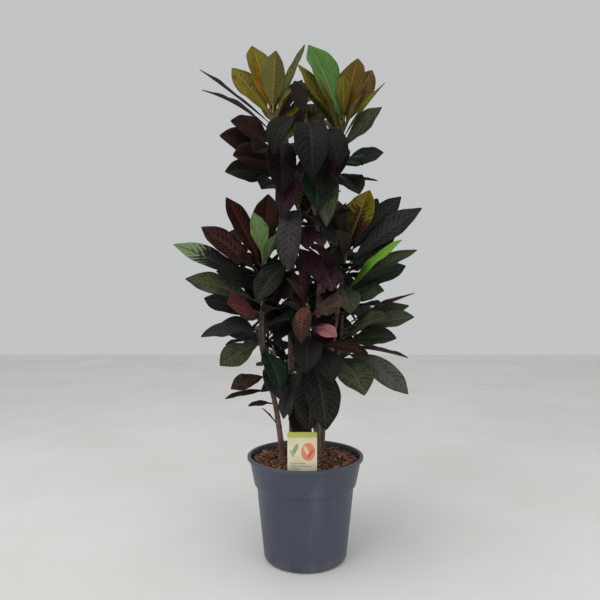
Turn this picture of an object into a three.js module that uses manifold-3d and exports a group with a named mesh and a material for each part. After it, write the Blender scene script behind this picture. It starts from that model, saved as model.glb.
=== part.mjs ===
// Potted croton: four leafy stems rooted in bark compost, in a round tapered nursery pot with a plant label.
// Millimetres, +Z up. The origin is the centre of the pot's flat underside. The front, where the label
// stands, faces -Y. Each stem is one body with its side shoots and its leaves: broad leathery blades on
// short stalks, folded along the midrib, waved at the edge and set in a spiral, steep at the tip of a
// shoot and drooping low down.

import * as THREE from "three";
import { mergeVertices } from "three/addons/utils/BufferGeometryUtils.js";
import Module from "manifold-3d";

const wasm = await Module();
wasm.setup();

// ---- Driving dimensions -----------------------------------------------------------------------------

const POT_HEIGHT = 200;
const RIM_RADIUS = 115;
const RIM_LIP_HEIGHT = 6;
const COLLAR_TOP_RADIUS = 110.3;
const COLLAR_FOOT_RADIUS = 100.8;
const COLLAR_FOOT_Z = 146;
const BODY_TOP_RADIUS = 95.8;
const BODY_FOOT_RADIUS = 83;
const BASE_CORNER = 8; // radius of the rounded lower edge
const WALL = 2;
const POT_SIDES = 40;
const DRAIN_HOLES = 8;
const DRAIN_RADIUS = 5;
const DRAIN_RING = 62; // radius of the circle that the holes stand on

const SOIL_Z = 191; // compost level at the wall
const SOIL_MOUND = 5; // how much higher it lies in the middle
const SOIL_FOOT_Z = 3.3;
const SOIL_GAP = 0.4; // between the compost and the wall
const SOIL_SIDES = 28;
const LUMP = 2.6; // height of the bark lumps

const STEM_FOOT_Z = 112; // how deep the cuttings were stuck
const STEM_SIDES = 6;
const RING_SPACING = 48; // between the rings of a stem's tube
const HOLE_GAP = 0.35; // around a stem or the label's stake in the compost

const LABEL_WIDTH = 54;
const LABEL_TOP_Z = 266;
const LABEL_HEAD_HEIGHT = 72;
const LABEL_THICKNESS = 0.9;
const LABEL_CORNER = 3;
const STAKE_WIDTH = 14;
const STAKE_LENGTH = 44; // below the head
const LABEL_X = -6.5;
const LABEL_Y = -93;

const BLADE_THICKNESS = 0.9;
const RIB_DEPTH = 0.9; // the midrib stands out below the blade by this
const STALK_HALF_WIDTH = 1.7;
const STALK_THICKNESS = 2.6;
const STATIONS = [0.3, 0.6, 0.85]; // along the blade, between its foot and its tip
const FEW_STATIONS = [0.38, 0.76]; // the same for a leaf that is set by rule
const LOWEST_LEAF_Z = 214; // leaves stay above the rim
const CLEARANCE = 2.4; // that a leaf keeps from other leaves and stems
const STEM_CLEARANCE = 2;

// ---- How the leaves change down a shoot: [share of the way from its tip to its lowest leaf, value] ----

const RISE = [[0, 78], [0.12, 64], [0.3, 44], [0.55, 18], [0.8, -6], [1, -22]]; // stalk's slope, degrees
const BEND = [[0, -8], [0.3, -22], [0.6, -34], [1, -40]]; // change of slope from stalk to tip, degrees
const SIZE = [[0, 0.62], [0.08, 0.84], [0.2, 1], [0.35, 1.06], [0.75, 1], [1, 0.84]];
const STALK = [[0, 14], [0.3, 20], [1, 30]];
const FOLD = [[0, 34], [0.2, 22], [0.5, 14], [1, 10]]; // of each half of the blade above flat, degrees
// Share of the circle that the leaves take, round from the back.
const BACK_TURN = [[0, 0.3], [0.3, 0.4], [0.6, 0.8], [1, 1]];
const GOLDEN_TURN = 137.5;
const LEAN = 32; // how far the blades at the sides turn their faces to the front, degrees
const BLADE_LENGTH = 148;
const BLADE_SLENDERNESS = 0.4; // width to length
const WAVE = 0.05; // height of the edge's wave to the blade's width
const WAVES = 1.6; // along the blade
const WIDEST = 1.27; // power that puts the widest place at 58% of the length
const BLUNT = 0.75; // power that fills out the outline

// How far from the plant's middle line a leaf's tip may reach, as [height, radius]. Leaves set by hand may
// pass it.
const REACH = [
  [200, 40], [250, 60], [300, 80], [345, 125], [389, 150], [438, 160], [487, 175], [576, 175], [625, 185],
  [674, 140], [704, 100], [753, 85], [800, 120], [880, 95], [900, 110], [985, 115], [1010, 100], [1045, 60],
];

const BACK_DEPTH = 1.7; // behind its middle the plant is deeper than wide by this

// What is tried in turn for a leaf that would touch another: extra turn and rise in degrees, and share of
// the size.
const TRIES = [
  [0, 0, 1], [5, 3, 1], [-5, 3, 1], [0, -6, 1], [0, 7, 1], [9, -5, 1], [-9, -5, 1], [12, 6, 1], [-12, 6, 1],
  [0, -12, 1], [0, 14, 1], [18, 0, 1], [-18, 0, 1], [18, -10, 0.95], [-18, -10, 0.95],
  [16, 14, 0.95], [-16, 14, 0.95], [28, -4, 0.92], [-28, -4, 0.92], [0, 24, 0.88], [0, -22, 0.88],
  [28, 14, 0.88], [-28, 14, 0.88], [38, -14, 0.85], [-38, -14, 0.85], [48, 6, 0.8], [-48, 6, 0.8],
  [14, -26, 0.75], [-14, -26, 0.75], [12, 30, 0.75], [-12, 30, 0.75], [0, 6, 0.66], [30, 0, 0.66],
  [-30, 0, 0.66], [60, -10, 0.6], [-60, -10, 0.6],
];

// ---- The stems and their side shoots ----------------------------------------------------------------
// path: points from the foot up. thick: radius at the foot and at the tip. count leaves are set by rule
// from the tip down, gap mm apart at first and reach mm in all. turn is the first leaf's heading, size
// scales the blades, and lift is added to every leaf's slope. placed: leaves set by hand before those, as
// [distance below the shoot's tip, tip of the leaf, width, bend in degrees, roll in degrees].

const STEMS = [
  {
    name: "croton_tall_left",
    shoots: [
      {
        path: [
          [-26, 32, STEM_FOOT_Z], [-26, 32, 196], [-30, 30, 420],
          [-34, 22, 640], [-46, 10, 770], [-67, 2, 882],
        ],
        thick: [7.5, 3.6], count: 32, gap: 7, reach: 560, turn: 100, size: 1, lift: 2,
        placed: [
          [8, [-110, 40, 1032], 64, -6, -20],
          [16, [-150, 30, 982], 54, -8, -54],
          [4, [-58, -14, 998], 54, -6, 0],
          [12, [0, 74, 1051], 30, -4, 0],
          [20, [-72, 62, 1036], 46, -4, 10],
          [24, [-198, 0, 981], 34, -4, -12],
          [46, [-199, -40, 910], 42, -34, -20],
          [66, [-142, -58, 845], 56, -14, -72],
          [92, [-158, -68, 810], 62, -16, -72],
          [108, [-134, -88, 772], 58, -14, -70],
          [124, [-152, -62, 748], 54, -14, -68],
          [64, [-44, -112, 694], 58, -100, -10],
          [82, [-92, -112, 770], 54, -36, -40],
          [146, [-80, -108, 706], 50, -24, -30],
          [290, [-82, -62, 522], 50, -40, -20],
          [366, [-24, -52, 458], 50, -40, 0],
          [26, [-15, 60, 982], 46, -6, 10],
        ],
      },
      {
        path: [[-33, 24, 600], [-46, 52, 650], [-58, 74, 710], [-62, 86, 770]],
        thick: [4.8, 3.2], count: 26, gap: 5, reach: 160, turn: 20, size: 0.95, lift: 0,
        placed: [
          [70, [-94, 110, 669], 52, -30, -20],
          [118, [-93, 96, 589], 52, -34, -20],
          [140, [-63, 110, 612], 50, -50, 0],
        ],
      },
      {
        path: [[-33, 25, 530], [-26, 4, 570], [-16, -26, 620], [-12, -42, 684]],
        thick: [4.8, 3.2], count: 8, gap: 16, reach: 150, turn: 250, size: 0.9, lift: 0,
        placed: [
          [2, [-30, -128, 556], 48, -110, 0],
          [22, [34, -112, 634], 50, -64, 0],
          [34, [2, -136, 606], 50, -56, 0],
          [46, [56, -96, 604], 48, -44, 10],
          [72, [22, -104, 540], 50, -44, 0],
          [120, [-40, -72, 507], 50, -44, 0],
        ],
      },
    ],
  },
  {
    name: "croton_tall_right",
    shoots: [
      {
        path: [
          [26, -6, STEM_FOOT_Z], [26, -6, 196], [22, 0, 380],
          [34, 4, 620], [60, 2, 760], [77, 0, 866],
        ],
        thick: [7.5, 3.6], count: 32, gap: 7, reach: 550, turn: 60, size: 1, lift: 2,
        placed: [
          [8, [109, 40, 1006], 56, -6, 20],
          [14, [6, -8, 1012], 84, -14, -58],
          [24, [-16, -30, 964], 50, -8, -60],
          [38, [22, -52, 930], 48, -10, -60],
          [20, [141, 60, 990], 52, -6, 50],
          [38, [157, -10, 936], 32, -8, 25],
          [30, [112, -6, 926], 46, -8, 50],
          [62, [139, -40, 885], 48, -8, 70],
          [92, [150, -40, 790], 44, -8, 66],
          [116, [150, 40, 753], 22, -10, 0],
          [58, [50, -134, 716], 54, -66, 0],
          [84, [104, -96, 752], 46, -24, 30],
          [104, [98, -92, 700], 50, -30, 20],
          [116, [42, -84, 612], 44, -100, 0],
          [290, [48, -96, 522], 54, -44, 10],
        ],
      },
      {
        path: [[32, 4, 600], [22, -14, 660], [8, -26, 740], [0, -26, 868]],
        thick: [5.2, 3.4], count: 0, gap: 8, reach: 210, turn: 200, size: 0.9, lift: 2,
        placed: [
          [6, [-22, -66, 917], 36, -6, 0],
          [28, [10, -168, 708], 64, -104, 0],
          [16, [-44, -140, 752], 46, -96, -10],
          [40, [56, -142, 735], 58, -90, 10],
          [80, [30, -124, 690], 50, -60, 0],
          [100, [38, -96, 636], 56, -60, 0],
          [110, [-8, -128, 652], 52, -60, 0],
        ],
      },
      {
        path: [[28, 3, 500], [42, 30, 550], [54, 58, 600], [58, 74, 652]],
        thick: [4.8, 3.2], count: 26, gap: 5, reach: 150, turn: 140, size: 0.95, lift: 0,
        placed: [
          [6, [20, 92, 736], 54, -6, 0],
          [12, [98, 98, 718], 56, -6, 0],
          [20, [65, 124, 569], 54, -60, 0],
          [40, [133, 104, 586], 50, -30, 10],
          [60, [102, 96, 507], 52, -34, 10],
        ],
      },
      {
        path: [[23, -4, 300], [16, -36, 345], [8, -62, 410], [4, -76, 500]],
        thick: [4.6, 3.2], count: 6, gap: 20, reach: 150, turn: 300, size: 0.85, lift: -6,
        placed: [
          [2, [-9, -150, 431], 34, -90, 0],
          [40, [53, -150, 443], 30, -20, 40],
          [6, [-40, -96, 545], 36, -10, 0],
          [20, [73, -120, 502], 46, -20, 55],
          [26, [-34, -110, 503], 46, -30, 0],
          [54, [0, -176, 384], 54, -50, 0],
          [70, [44, -164, 366], 56, -50, 5],
          [82, [34, -152, 283], 66, -40, 0],
          [94, [6, -158, 297], 60, -40, 0],
          [104, [-30, -142, 304], 48, -30, 0],
          [118, [-2, -128, 284], 52, -30, 0],
        ],
      },
    ],
  },
  {
    name: "croton_left",
    shoots: [
      {
        path: [
          [-45, -24, STEM_FOOT_Z], [-45, -24, 196], [-56, -26, 290],
          [-78, -24, 390], [-84, -20, 480], [-82, -16, 590],
        ],
        thick: [7, 3.4], count: 26, gap: 7, reach: 260, turn: 205, size: 0.95, lift: 2,
        placed: [
          [4, [-100, -44, 675], 44, -10, 0],
          [8, [-76, 36, 725], 56, -6, 0],
          [24, [-158, 0, 712], 48, -6, -45],
          [16, [-55, -66, 630], 34, -10, 20],
          [34, [-204, -20, 650], 52, -10, -60],
          [54, [-254, -40, 614], 46, -12, -60],
          [86, [-222, -58, 562], 50, -16, -56],
          [68, [-166, -76, 560], 54, -22, -60],
          [44, [-126, -74, 588], 46, -30, -40],
          [110, [-46, -76, 481], 50, -50, 0],
          [134, [-14, -84, 462], 50, -20, 30],
          [118, [-50, -60, 413], 50, -44, 10],
          [84, [-56, -66, 503], 48, -44, 0],
          [150, [-41, -50, 385], 48, -50, 0],
          [12, [-146, 34, 585], 46, -16, -40],
          [166, [-25, 0, 411], 50, -20, 30],
          [256, [-155, -40, 317], 22, -14, -20],
          [282, [-110, -44, 304], 20, -14, -20],
          [326, [-84, -36, 299], 12, -8, 0],
          [120, [-209, 40, 511], 50, -16, -50],
          [170, [-173, 50, 461], 50, -20, -50],
        ],
      },
      {
        path: [[-70, -26, 355], [-82, -42, 400], [-86, -54, 440], [-84, -60, 490]],
        thick: [4.4, 3], count: 0, gap: 8, reach: 120, turn: 80, size: 0.85, lift: -4,
        placed: [
          [20, [-138, -136, 500], 60, -30, -52],
          [42, [-192, -90, 439], 44, -34, -30],
          [52, [-152, -58, 422], 30, -14, -10],
          [64, [-154, -112, 389], 48, -20, -50],
          [72, [-46, -130, 350], 52, -44, -10],
          [132, [-141, -60, 339], 38, -16, -40],
          [104, [-46, -120, 330], 50, -50, 0],
        ],
      },
      {
        path: [[-58, -26, 300], [-70, 10, 350], [-78, 46, 410], [-76, 64, 470]],
        thick: [4.4, 3], count: 28, gap: 5, reach: 172, turn: 150, size: 0.95, lift: -4,
        placed: [
          [2, [-89, 108, 623], 54, -6, 0],
          [8, [-130, 100, 590], 54, -6, -20],
          [26, [-32, 100, 485], 50, -10, 20],
          [50, [-45, 90, 399], 50, -40, 10],
        ],
      },
    ],
  },
  {
    name: "croton_right",
    shoots: [
      {
        path: [
          [34, 36, STEM_FOOT_Z], [34, 36, 196], [40, 28, 300],
          [52, 12, 400], [66, -2, 500], [80, -8, 604],
        ],
        thick: [7, 3.4], count: 28, gap: 7, reach: 270, turn: 10, size: 0.95, lift: 2,
        placed: [
          [6, [130, 10, 728], 60, -6, 50],
          [8, [54, -44, 704], 54, -6, -30],
          [14, [200, 48, 722], 46, -10, 55],
          [32, [236, 0, 680], 52, -12, 58],
          [52, [186, -16, 636], 50, -12, 60],
          [92, [176, -90, 617], 46, -8, 44],
          [78, [217, -30, 604], 48, -12, 40],
          [44, [96, -84, 560], 48, -40, 10],
          [20, [58, -60, 640], 44, -30, 0],
          [60, [0, -60, 610], 56, -20, -10],
          [86, [-6, -70, 548], 52, -24, -15],
          [110, [148, -62, 524], 54, -24, 45],
          [64, [81, -86, 481], 50, -50, 0],
          [40, [86, -74, 566], 48, -44, 10],
          [92, [38, -64, 499], 46, -40, -20],
          [128, [22, -56, 437], 50, -50, -10],
          [118, [164, 20, 470], 56, -16, 30],
          [150, [24, -30, 402], 50, -44, -10],
          [90, [210, 50, 578], 50, -16, 50],
          [10, [183, 60, 726], 46, -6, 40],
        ],
      },
      {
        path: [[44, 22, 330], [58, -10, 380], [68, -36, 425], [70, -52, 480]],
        thick: [4.4, 3], count: 0, gap: 8, reach: 130, turn: 300, size: 0.9, lift: -6,
        placed: [
          [20, [206, -56, 520], 36, -10, 5],
          [28, [200, -36, 496], 44, -12, 40],
          [36, [194, -92, 490], 50, -16, 45],
          [48, [165, -112, 464], 52, -24, 40],
          [56, [168, -80, 436], 50, -24, 45],
          [62, [193, -60, 398], 36, -16, 5],
          [72, [183, -112, 338], 48, -30, 45],
          [84, [110, -140, 335], 68, -34, 10],
        ],
      },
      {
        path: [[36, 34, 250], [40, 52, 310], [46, 66, 370], [46, 72, 440]],
        thick: [4.6, 3], count: 28, gap: 5, reach: 184, turn: 60, size: 1, lift: -4,
        placed: [
          [2, [64, 108, 590], 54, -6, 0],
          [8, [107, 104, 507], 52, -8, 20],
          [14, [-4, 104, 559], 52, -8, -20],
          [30, [111, 96, 451], 50, -10, 20],
          [50, [97, 90, 442], 50, -30, 20],
        ],
      },
    ],
  },
];

// ---- Small helpers ----------------------------------------------------------------------------------

const TAU = 2 * Math.PI;
const radians = THREE.MathUtils.degToRad;

function randomFrom(seed) {
  let state = seed;
  return () => {
    state = (state * 48271) % 2147483647;
    return state / 2147483647;
  };
}

function along(table, share) {
  let i = 1;
  while (i < table.length - 1 && table[i][0] < share) i += 1;
  const [t0, v0] = table[i - 1];
  const [t1, v1] = table[i];
  return v0 + ((v1 - v0) * (share - t0)) / (t1 - t0);
}

function surface(points, faces) {
  const geometry = new THREE.BufferGeometry();
  geometry.setAttribute("position", new THREE.Float32BufferAttribute(points.flat(), 3));
  geometry.setIndex(faces.flat());
  return geometry;
}

// A closed surface through rings of points, each ring with as many points. The first ring is capped, and
// the last is capped or drawn to a point.
function loft(rings, tip = null) {
  const n = rings[0].length;
  const points = rings.flat();
  const faces = [];
  for (let i = 1; i < n - 1; i += 1) faces.push([0, i + 1, i]);
  for (let r = 0; r < rings.length - 1; r += 1) {
    for (let i = 0; i < n; i += 1) {
      const a = r * n + i;
      const b = r * n + ((i + 1) % n);
      faces.push([a, b, b + n], [a, b + n, a + n]);
    }
  }
  const last = (rings.length - 1) * n;
  if (tip) points.push(tip);
  for (let i = 0; i < n; i += 1) {
    if (tip) faces.push([last + i, last + ((i + 1) % n), points.length - 1]);
    else if (i > 0 && i < n - 1) faces.push([last, last + i, last + i + 1]);
  }
  return surface(points, faces);
}

function solidOf(geometry) {
  const bare = geometry.clone();
  bare.deleteAttribute("normal");
  bare.deleteAttribute("uv");
  const merged = mergeVertices(bare, 1e-4);
  return new wasm.Manifold(
    new wasm.Mesh({
      numProp: 3,
      vertProperties: new Float32Array(merged.attributes.position.array),
      triVerts: new Uint32Array(merged.index.array),
    }),
  );
}

function geometryOf(solid) {
  const made = solid.getMesh();
  const geometry = new THREE.BufferGeometry();
  geometry.setAttribute("position", new THREE.BufferAttribute(made.vertProperties, 3));
  geometry.setIndex(new THREE.BufferAttribute(made.triVerts, 1));
  return geometry;
}

function named(name, geometry, look) {
  const mesh = new THREE.Mesh(geometry, new THREE.MeshStandardMaterial(look));
  mesh.name = name;
  return mesh;
}

// ---- Stems ------------------------------------------------------------------------------------------

// The smooth line through a shoot's points, in short straight steps from foot to tip.
function smoothPath(points, steps = 8) {
  const at = (i) => points[Math.min(Math.max(i, 0), points.length - 1)];
  const line = [];
  for (let i = 0; i < points.length - 1; i += 1) {
    for (let j = 0; j < steps; j += 1) {
      const t = j / steps;
      const [p, q, r, s] = [at(i - 1), at(i), at(i + 1), at(i + 2)];
      line.push(
        [0, 1, 2].map((k) => {
          const square = 2 * p[k] - 5 * q[k] + 4 * r[k] - s[k];
          const cube = 3 * q[k] - p[k] - 3 * r[k] + s[k];
          return 0.5 * (2 * q[k] + (r[k] - p[k]) * t + square * t * t + cube * t * t * t);
        }),
      );
    }
  }
  line.push(points.at(-1));
  return line;
}

const shifted = (p, direction, by) => p.map((x, k) => x + direction[k] * by);

const distance = (a, b) => Math.sqrt((a[0] - b[0]) ** 2 + (a[1] - b[1]) ** 2 + (a[2] - b[2]) ** 2);

// The point that lies a given way below the tip of a line.
function belowTip(line, down) {
  let left = down;
  for (let i = line.length - 1; i > 0; i -= 1) {
    const step = distance(line[i], line[i - 1]);
    if (left <= step) return line[i].map((x, k) => x + ((line[i - 1][k] - x) * left) / step);
    left -= step;
  }
  return line[0];
}

const lengthOf = (line) => line.slice(1).reduce((sum, p, i) => sum + distance(p, line[i]), 0);

// A stem's thickness falls evenly from its foot to its tip.
const radiusAt = (shoot, share) => shoot.thick[0] + (shoot.thick[1] - shoot.thick[0]) * share;

// Level rings up a shoot, wide enough apart to keep the tube light.
function stemRings(shoot, sides, spacing, extra = 0) {
  const whole = lengthOf(shoot.line);
  const count = Math.max(3, Math.round(whole / spacing));
  const rings = [];
  for (let i = 0; i <= count; i += 1) {
    const centre = belowTip(shoot.line, whole * (1 - i / count));
    const radius = radiusAt(shoot, i / count) + extra;
    rings.push(
      Array.from({ length: sides }, (_, k) => [
        centre[0] + radius * Math.cos((TAU * k) / sides),
        centre[1] + radius * Math.sin((TAU * k) / sides),
        centre[2],
      ]),
    );
  }
  return rings;
}

// ---- Leaves -----------------------------------------------------------------------------------------

// The midrib is an arc in the upright plane of its heading. Returns the place, and the side and face
// directions.
function spine(leaf, s) {
  const whole = leaf.stalk + leaf.length;
  const slope = leaf.rise + (leaf.bend * s) / whole;
  const out = (whole / leaf.bend) * (Math.sin(slope) - Math.sin(leaf.rise));
  const up = (-whole / leaf.bend) * (Math.cos(slope) - Math.cos(leaf.rise));
  const [c, q] = [Math.cos(leaf.heading), Math.sin(leaf.heading)];
  const roll = leaf.roll + (leaf.twist * s) / whole;
  const side = [-q, c, 0];
  const face = [-Math.sin(slope) * c, -Math.sin(slope) * q, Math.cos(slope)];
  return {
    at: [leaf.root[0] + out * c, leaf.root[1] + out * q, leaf.root[2] + up],
    side: side.map((x, k) => x * Math.cos(roll) + face[k] * Math.sin(roll)),
    face: face.map((x, k) => x * Math.cos(roll) - side[k] * Math.sin(roll)),
  };
}

const outline = (t) => Math.sin(Math.PI * t ** WIDEST) ** BLUNT;

// A point of the blade's middle surface: t runs from its foot to its tip, and v from -1 to 1 across it.
function bladePoint(leaf, t, v, lift = 0) {
  const { at, side, face } = spine(leaf, leaf.stalk + t * leaf.length);
  const half = (leaf.width / 2) * outline(t);
  const edge = v < 0 ? leaf.phase : leaf.phase + 2;
  const wave = WAVE * 2 * half * v * v * Math.sin(TAU * WAVES * t + edge);
  const out = v * half * Math.cos(leaf.fold);
  const up = Math.abs(v) * half * Math.sin(leaf.fold) + wave + lift;
  return at.map((x, k) => x + side[k] * out + face[k] * up);
}

// The leaf of a shoot that stands k leaves below its tip. It keeps to the back where leaves are set by
// hand.
function leafOf(shoot, k, random) {
  const age = k / (shoot.count - 1);
  const draw = (spread) => (random() * 2 - 1) * spread;
  const down = shoot.gap * k + (shoot.reach - shoot.gap * (shoot.count - 1)) * age * age;
  const size = shoot.size * along(SIZE, age) * (1 + draw(0.09));
  const fromBack = ((shoot.turn + k * GOLDEN_TURN + 90) % 360) - 180;
  const heading = 90 + fromBack * (shoot.placed.length > 0 ? along(BACK_TURN, age) : 1);
  return {
    root: belowTip(shoot.line, 4 + down),
    heading: radians(heading + draw(9)),
    rise: radians(along(RISE, age) + shoot.lift + draw(8)),
    bend: radians(along(BEND, age) + draw(7)),
    stalk: along(STALK, age),
    length: BLADE_LENGTH * size,
    width: BLADE_LENGTH * size * BLADE_SLENDERNESS * (1 + draw(0.12)),
    roll: radians(LEAN * Math.cos(radians(heading)) + draw(14)),
    twist: radians(draw(16)),
    fold: radians(along(FOLD, age)),
    phase: random() * TAU,
    stations: FEW_STATIONS,
  };
}

// A leaf that is given by where its tip is. The midrib's chord runs from the shoot to that tip.
function placedLeaf(shoot, [down, tip, width, bendDegrees, roll], random) {
  const root = belowTip(shoot.line, 4 + down);
  const [dx, dy, dz] = tip.map((x, k) => x - root[k]);
  const half = radians(bendDegrees) / 2;
  const whole = (Math.sqrt(dx * dx + dy * dy + dz * dz) * half) / Math.sin(half);
  const stalk = Math.min(26, 0.14 * whole);
  return {
    root,
    heading: Math.atan2(dy, dx),
    rise: Math.atan2(dz, Math.sqrt(dx * dx + dy * dy)) - half,
    bend: 2 * half,
    stalk,
    length: whole - stalk,
    width,
    roll: radians(roll),
    twist: 0,
    fold: radians(14),
    phase: random() * TAU,
    stations: STATIONS,
  };
}

function varied(leaf, [turn, rise, share]) {
  return {
    ...leaf,
    heading: leaf.heading + radians(turn),
    rise: leaf.rise + radians(rise),
    length: leaf.length * share,
    width: leaf.width * share,
  };
}

// ---- Which leaves are clear of each other -----------------------------------------------------------

function boxOf(points) {
  const low = [Infinity, Infinity, Infinity];
  const high = [-Infinity, -Infinity, -Infinity];
  for (const p of points) {
    for (let k = 0; k < 3; k += 1) {
      low[k] = Math.min(low[k], p[k]);
      high[k] = Math.max(high[k], p[k]);
    }
  }
  return [low, high];
}

// A leaf as lines along and across it, and as three sheets that others must not cross: its own, one above
// and one below. The stalk is a line with two narrow sheets along it.
function bodyOfLeaf(leaf) {
  const lines = [];
  const sheets = [];
  for (const lift of [-CLEARANCE, 0, CLEARANCE]) {
    const foot = bladePoint(leaf, 0, 0, lift);
    const tip = bladePoint(leaf, 1, 0, lift);
    const rows = STATIONS.map((t) => [-1.05, 0, 1.05].map((v) => bladePoint(leaf, t, v, lift)));
    const chain = [[foot, foot, foot], ...rows, [tip, tip, tip]];
    for (let i = 0; i < chain.length - 1; i += 1) {
      for (let j = 0; j < 3; j += 1) {
        if (lift === 0) {
          lines.push([chain[i][j], chain[i + 1][j]]);
          if (i > 0 && j > 0) lines.push([chain[i][j - 1], chain[i][j]]);
        }
        if (j > 0) {
          if (i > 0) sheets.push([chain[i][j - 1], chain[i][j], chain[i + 1][j]]);
          if (i < chain.length - 2) sheets.push([chain[i][j - 1], chain[i + 1][j], chain[i + 1][j - 1]]);
        }
      }
    }
  }
  const from = spine(leaf, Math.min(8, leaf.stalk - 2));
  const to = spine(leaf, leaf.stalk);
  lines.push([from.at, to.at]);
  for (const way of ["side", "face"]) {
    const [a, b] = [-3.2, 3.2].map((d) => shifted(from.at, from[way], d));
    const [c, d] = [-3.2, 3.2].map((e) => shifted(to.at, to[way], e));
    lines.push([a, c], [b, d]);
    sheets.push([a, b, d], [a, d, c]);
  }
  return { lines, sheets, box: boxOf([...lines.flat(), ...sheets.flat()]) };
}

// A stem as a square tube of the same reach.
function bodyOfStem(shoot) {
  const rings = stemRings(shoot, 4, RING_SPACING, STEM_CLEARANCE);
  const lines = [];
  const sheets = [];
  for (let r = 0; r < rings.length - 1; r += 1) {
    for (let i = 0; i < 4; i += 1) {
      const [a, b] = [rings[r][i], rings[r][(i + 1) % 4]];
      const [c, d] = [rings[r + 1][i], rings[r + 1][(i + 1) % 4]];
      lines.push([a, c]);
      sheets.push([a, b, d], [a, d, c]);
    }
  }
  return { lines, sheets, box: boxOf(lines.flat()), shoot };
}

// The label's head, with some room round it.
function bodyOfLabel() {
  const [x0, x1] = [LABEL_X - LABEL_WIDTH / 2 - 3, LABEL_X + LABEL_WIDTH / 2 + 3];
  const [z0, z1] = [LABEL_TOP_Z - LABEL_HEAD_HEIGHT, LABEL_TOP_Z + 4];
  const outlineAt = (y) => [[x0, y, z0], [x1, y, z0], [x1, y, z1], [x0, y, z1]];
  const corners = [outlineAt(LABEL_Y - 4), outlineAt(LABEL_Y + 4)];
  const lines = corners.flatMap((c) => c.map((p, i) => [p, c[(i + 1) % 4]]));
  const sheets = corners.flatMap((c) => [[c[0], c[1], c[2]], [c[0], c[2], c[3]]]);
  return { lines, sheets, box: boxOf(lines.flat()) };
}

function lineCrosses([p, q], [a, b, c]) {
  const dx = q[0] - p[0], dy = q[1] - p[1], dz = q[2] - p[2];
  const ux = b[0] - a[0], uy = b[1] - a[1], uz = b[2] - a[2];
  const wx = c[0] - a[0], wy = c[1] - a[1], wz = c[2] - a[2];
  const hx = dy * wz - dz * wy, hy = dz * wx - dx * wz, hz = dx * wy - dy * wx;
  const det = ux * hx + uy * hy + uz * hz;
  if (Math.abs(det) < 1e-9) return false;
  const sx = p[0] - a[0], sy = p[1] - a[1], sz = p[2] - a[2];
  const m = (sx * hx + sy * hy + sz * hz) / det;
  if (m < 0 || m > 1) return false;
  const gx = sy * uz - sz * uy, gy = sz * ux - sx * uz, gz = sx * uy - sy * ux;
  const n = (dx * gx + dy * gy + dz * gz) / det;
  if (n < 0 || m + n > 1) return false;
  const t = (wx * gx + wy * gy + wz * gz) / det;
  return t >= 0 && t <= 1;
}

function touches(a, b) {
  for (let k = 0; k < 3; k += 1) if (a.box[0][k] > b.box[1][k] || b.box[0][k] > a.box[1][k]) return false;
  return (
    a.lines.some((line) => b.sheets.some((sheet) => lineCrosses(line, sheet))) ||
    b.lines.some((line) => a.sheets.some((sheet) => lineCrosses(line, sheet)))
  );
}

// The leaves set by hand come first, then the rest, shoot by shoot, from the tip down. A leaf that would
// touch something is turned, tipped or made smaller, and left out if nothing helps.
function growLeaves(stems) {
  const shoots = stems.flatMap((stem) => stem.shoots);
  const bodies = [bodyOfLabel()];
  const set = (shoot, wanted, free) => {
    for (const change of TRIES) {
      const leaf = varied(wanted, change);
      const [x, y, z] = bladePoint(leaf, 1, 0);
      const depth = y > 0 ? y / BACK_DEPTH : y;
      if (free && Math.sqrt(x * x + depth * depth) > along(REACH, z)) continue;
      const body = bodyOfLeaf(leaf);
      if (body.box[0][2] < LOWEST_LEAF_Z) continue;
      if (bodies.some((other) => other.shoot !== shoot && touches(body, other))) continue;
      shoot.leaves.push(leaf);
      bodies.push(body);
      return;
    }
  };
  for (const shoot of shoots) {
    shoot.line = smoothPath(shoot.path);
    shoot.leaves = [];
    bodies.push(bodyOfStem(shoot));
  }
  shoots.forEach((shoot, i) => {
    const random = randomFrom(911 + 53 * i);
    for (const entry of shoot.placed) set(shoot, placedLeaf(shoot, entry, random), false);
  });
  shoots.forEach((shoot, i) => {
    const random = randomFrom(4001 + 97 * i);
    for (let k = 0; k < shoot.count; k += 1) set(shoot, leafOf(shoot, k, random), true);
  });
}

// ---- Solids of the leaves and stems -----------------------------------------------------------------

// Six points round the blade: over and under each edge and the midrib.
function bladeSection(leaf, t) {
  const { face } = spine(leaf, leaf.stalk + t * leaf.length);
  const [near, middle, far] = [-1, 0, 1].map((v) => bladePoint(leaf, t, v));
  const h = BLADE_THICKNESS / 2;
  return [
    shifted(near, face, h), shifted(near, face, -h), shifted(middle, face, -h - RIB_DEPTH),
    shifted(far, face, -h), shifted(far, face, h), shifted(middle, face, h),
  ];
}

// Three points round the stalk, flat side up.
function stalkSection(leaf, s) {
  const { at, side, face } = spine(leaf, s);
  const h = STALK_THICKNESS / 2;
  return [
    shifted(shifted(at, side, -STALK_HALF_WIDTH), face, h),
    shifted(at, face, -h),
    shifted(shifted(at, side, STALK_HALF_WIDTH), face, h),
  ];
}

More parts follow.
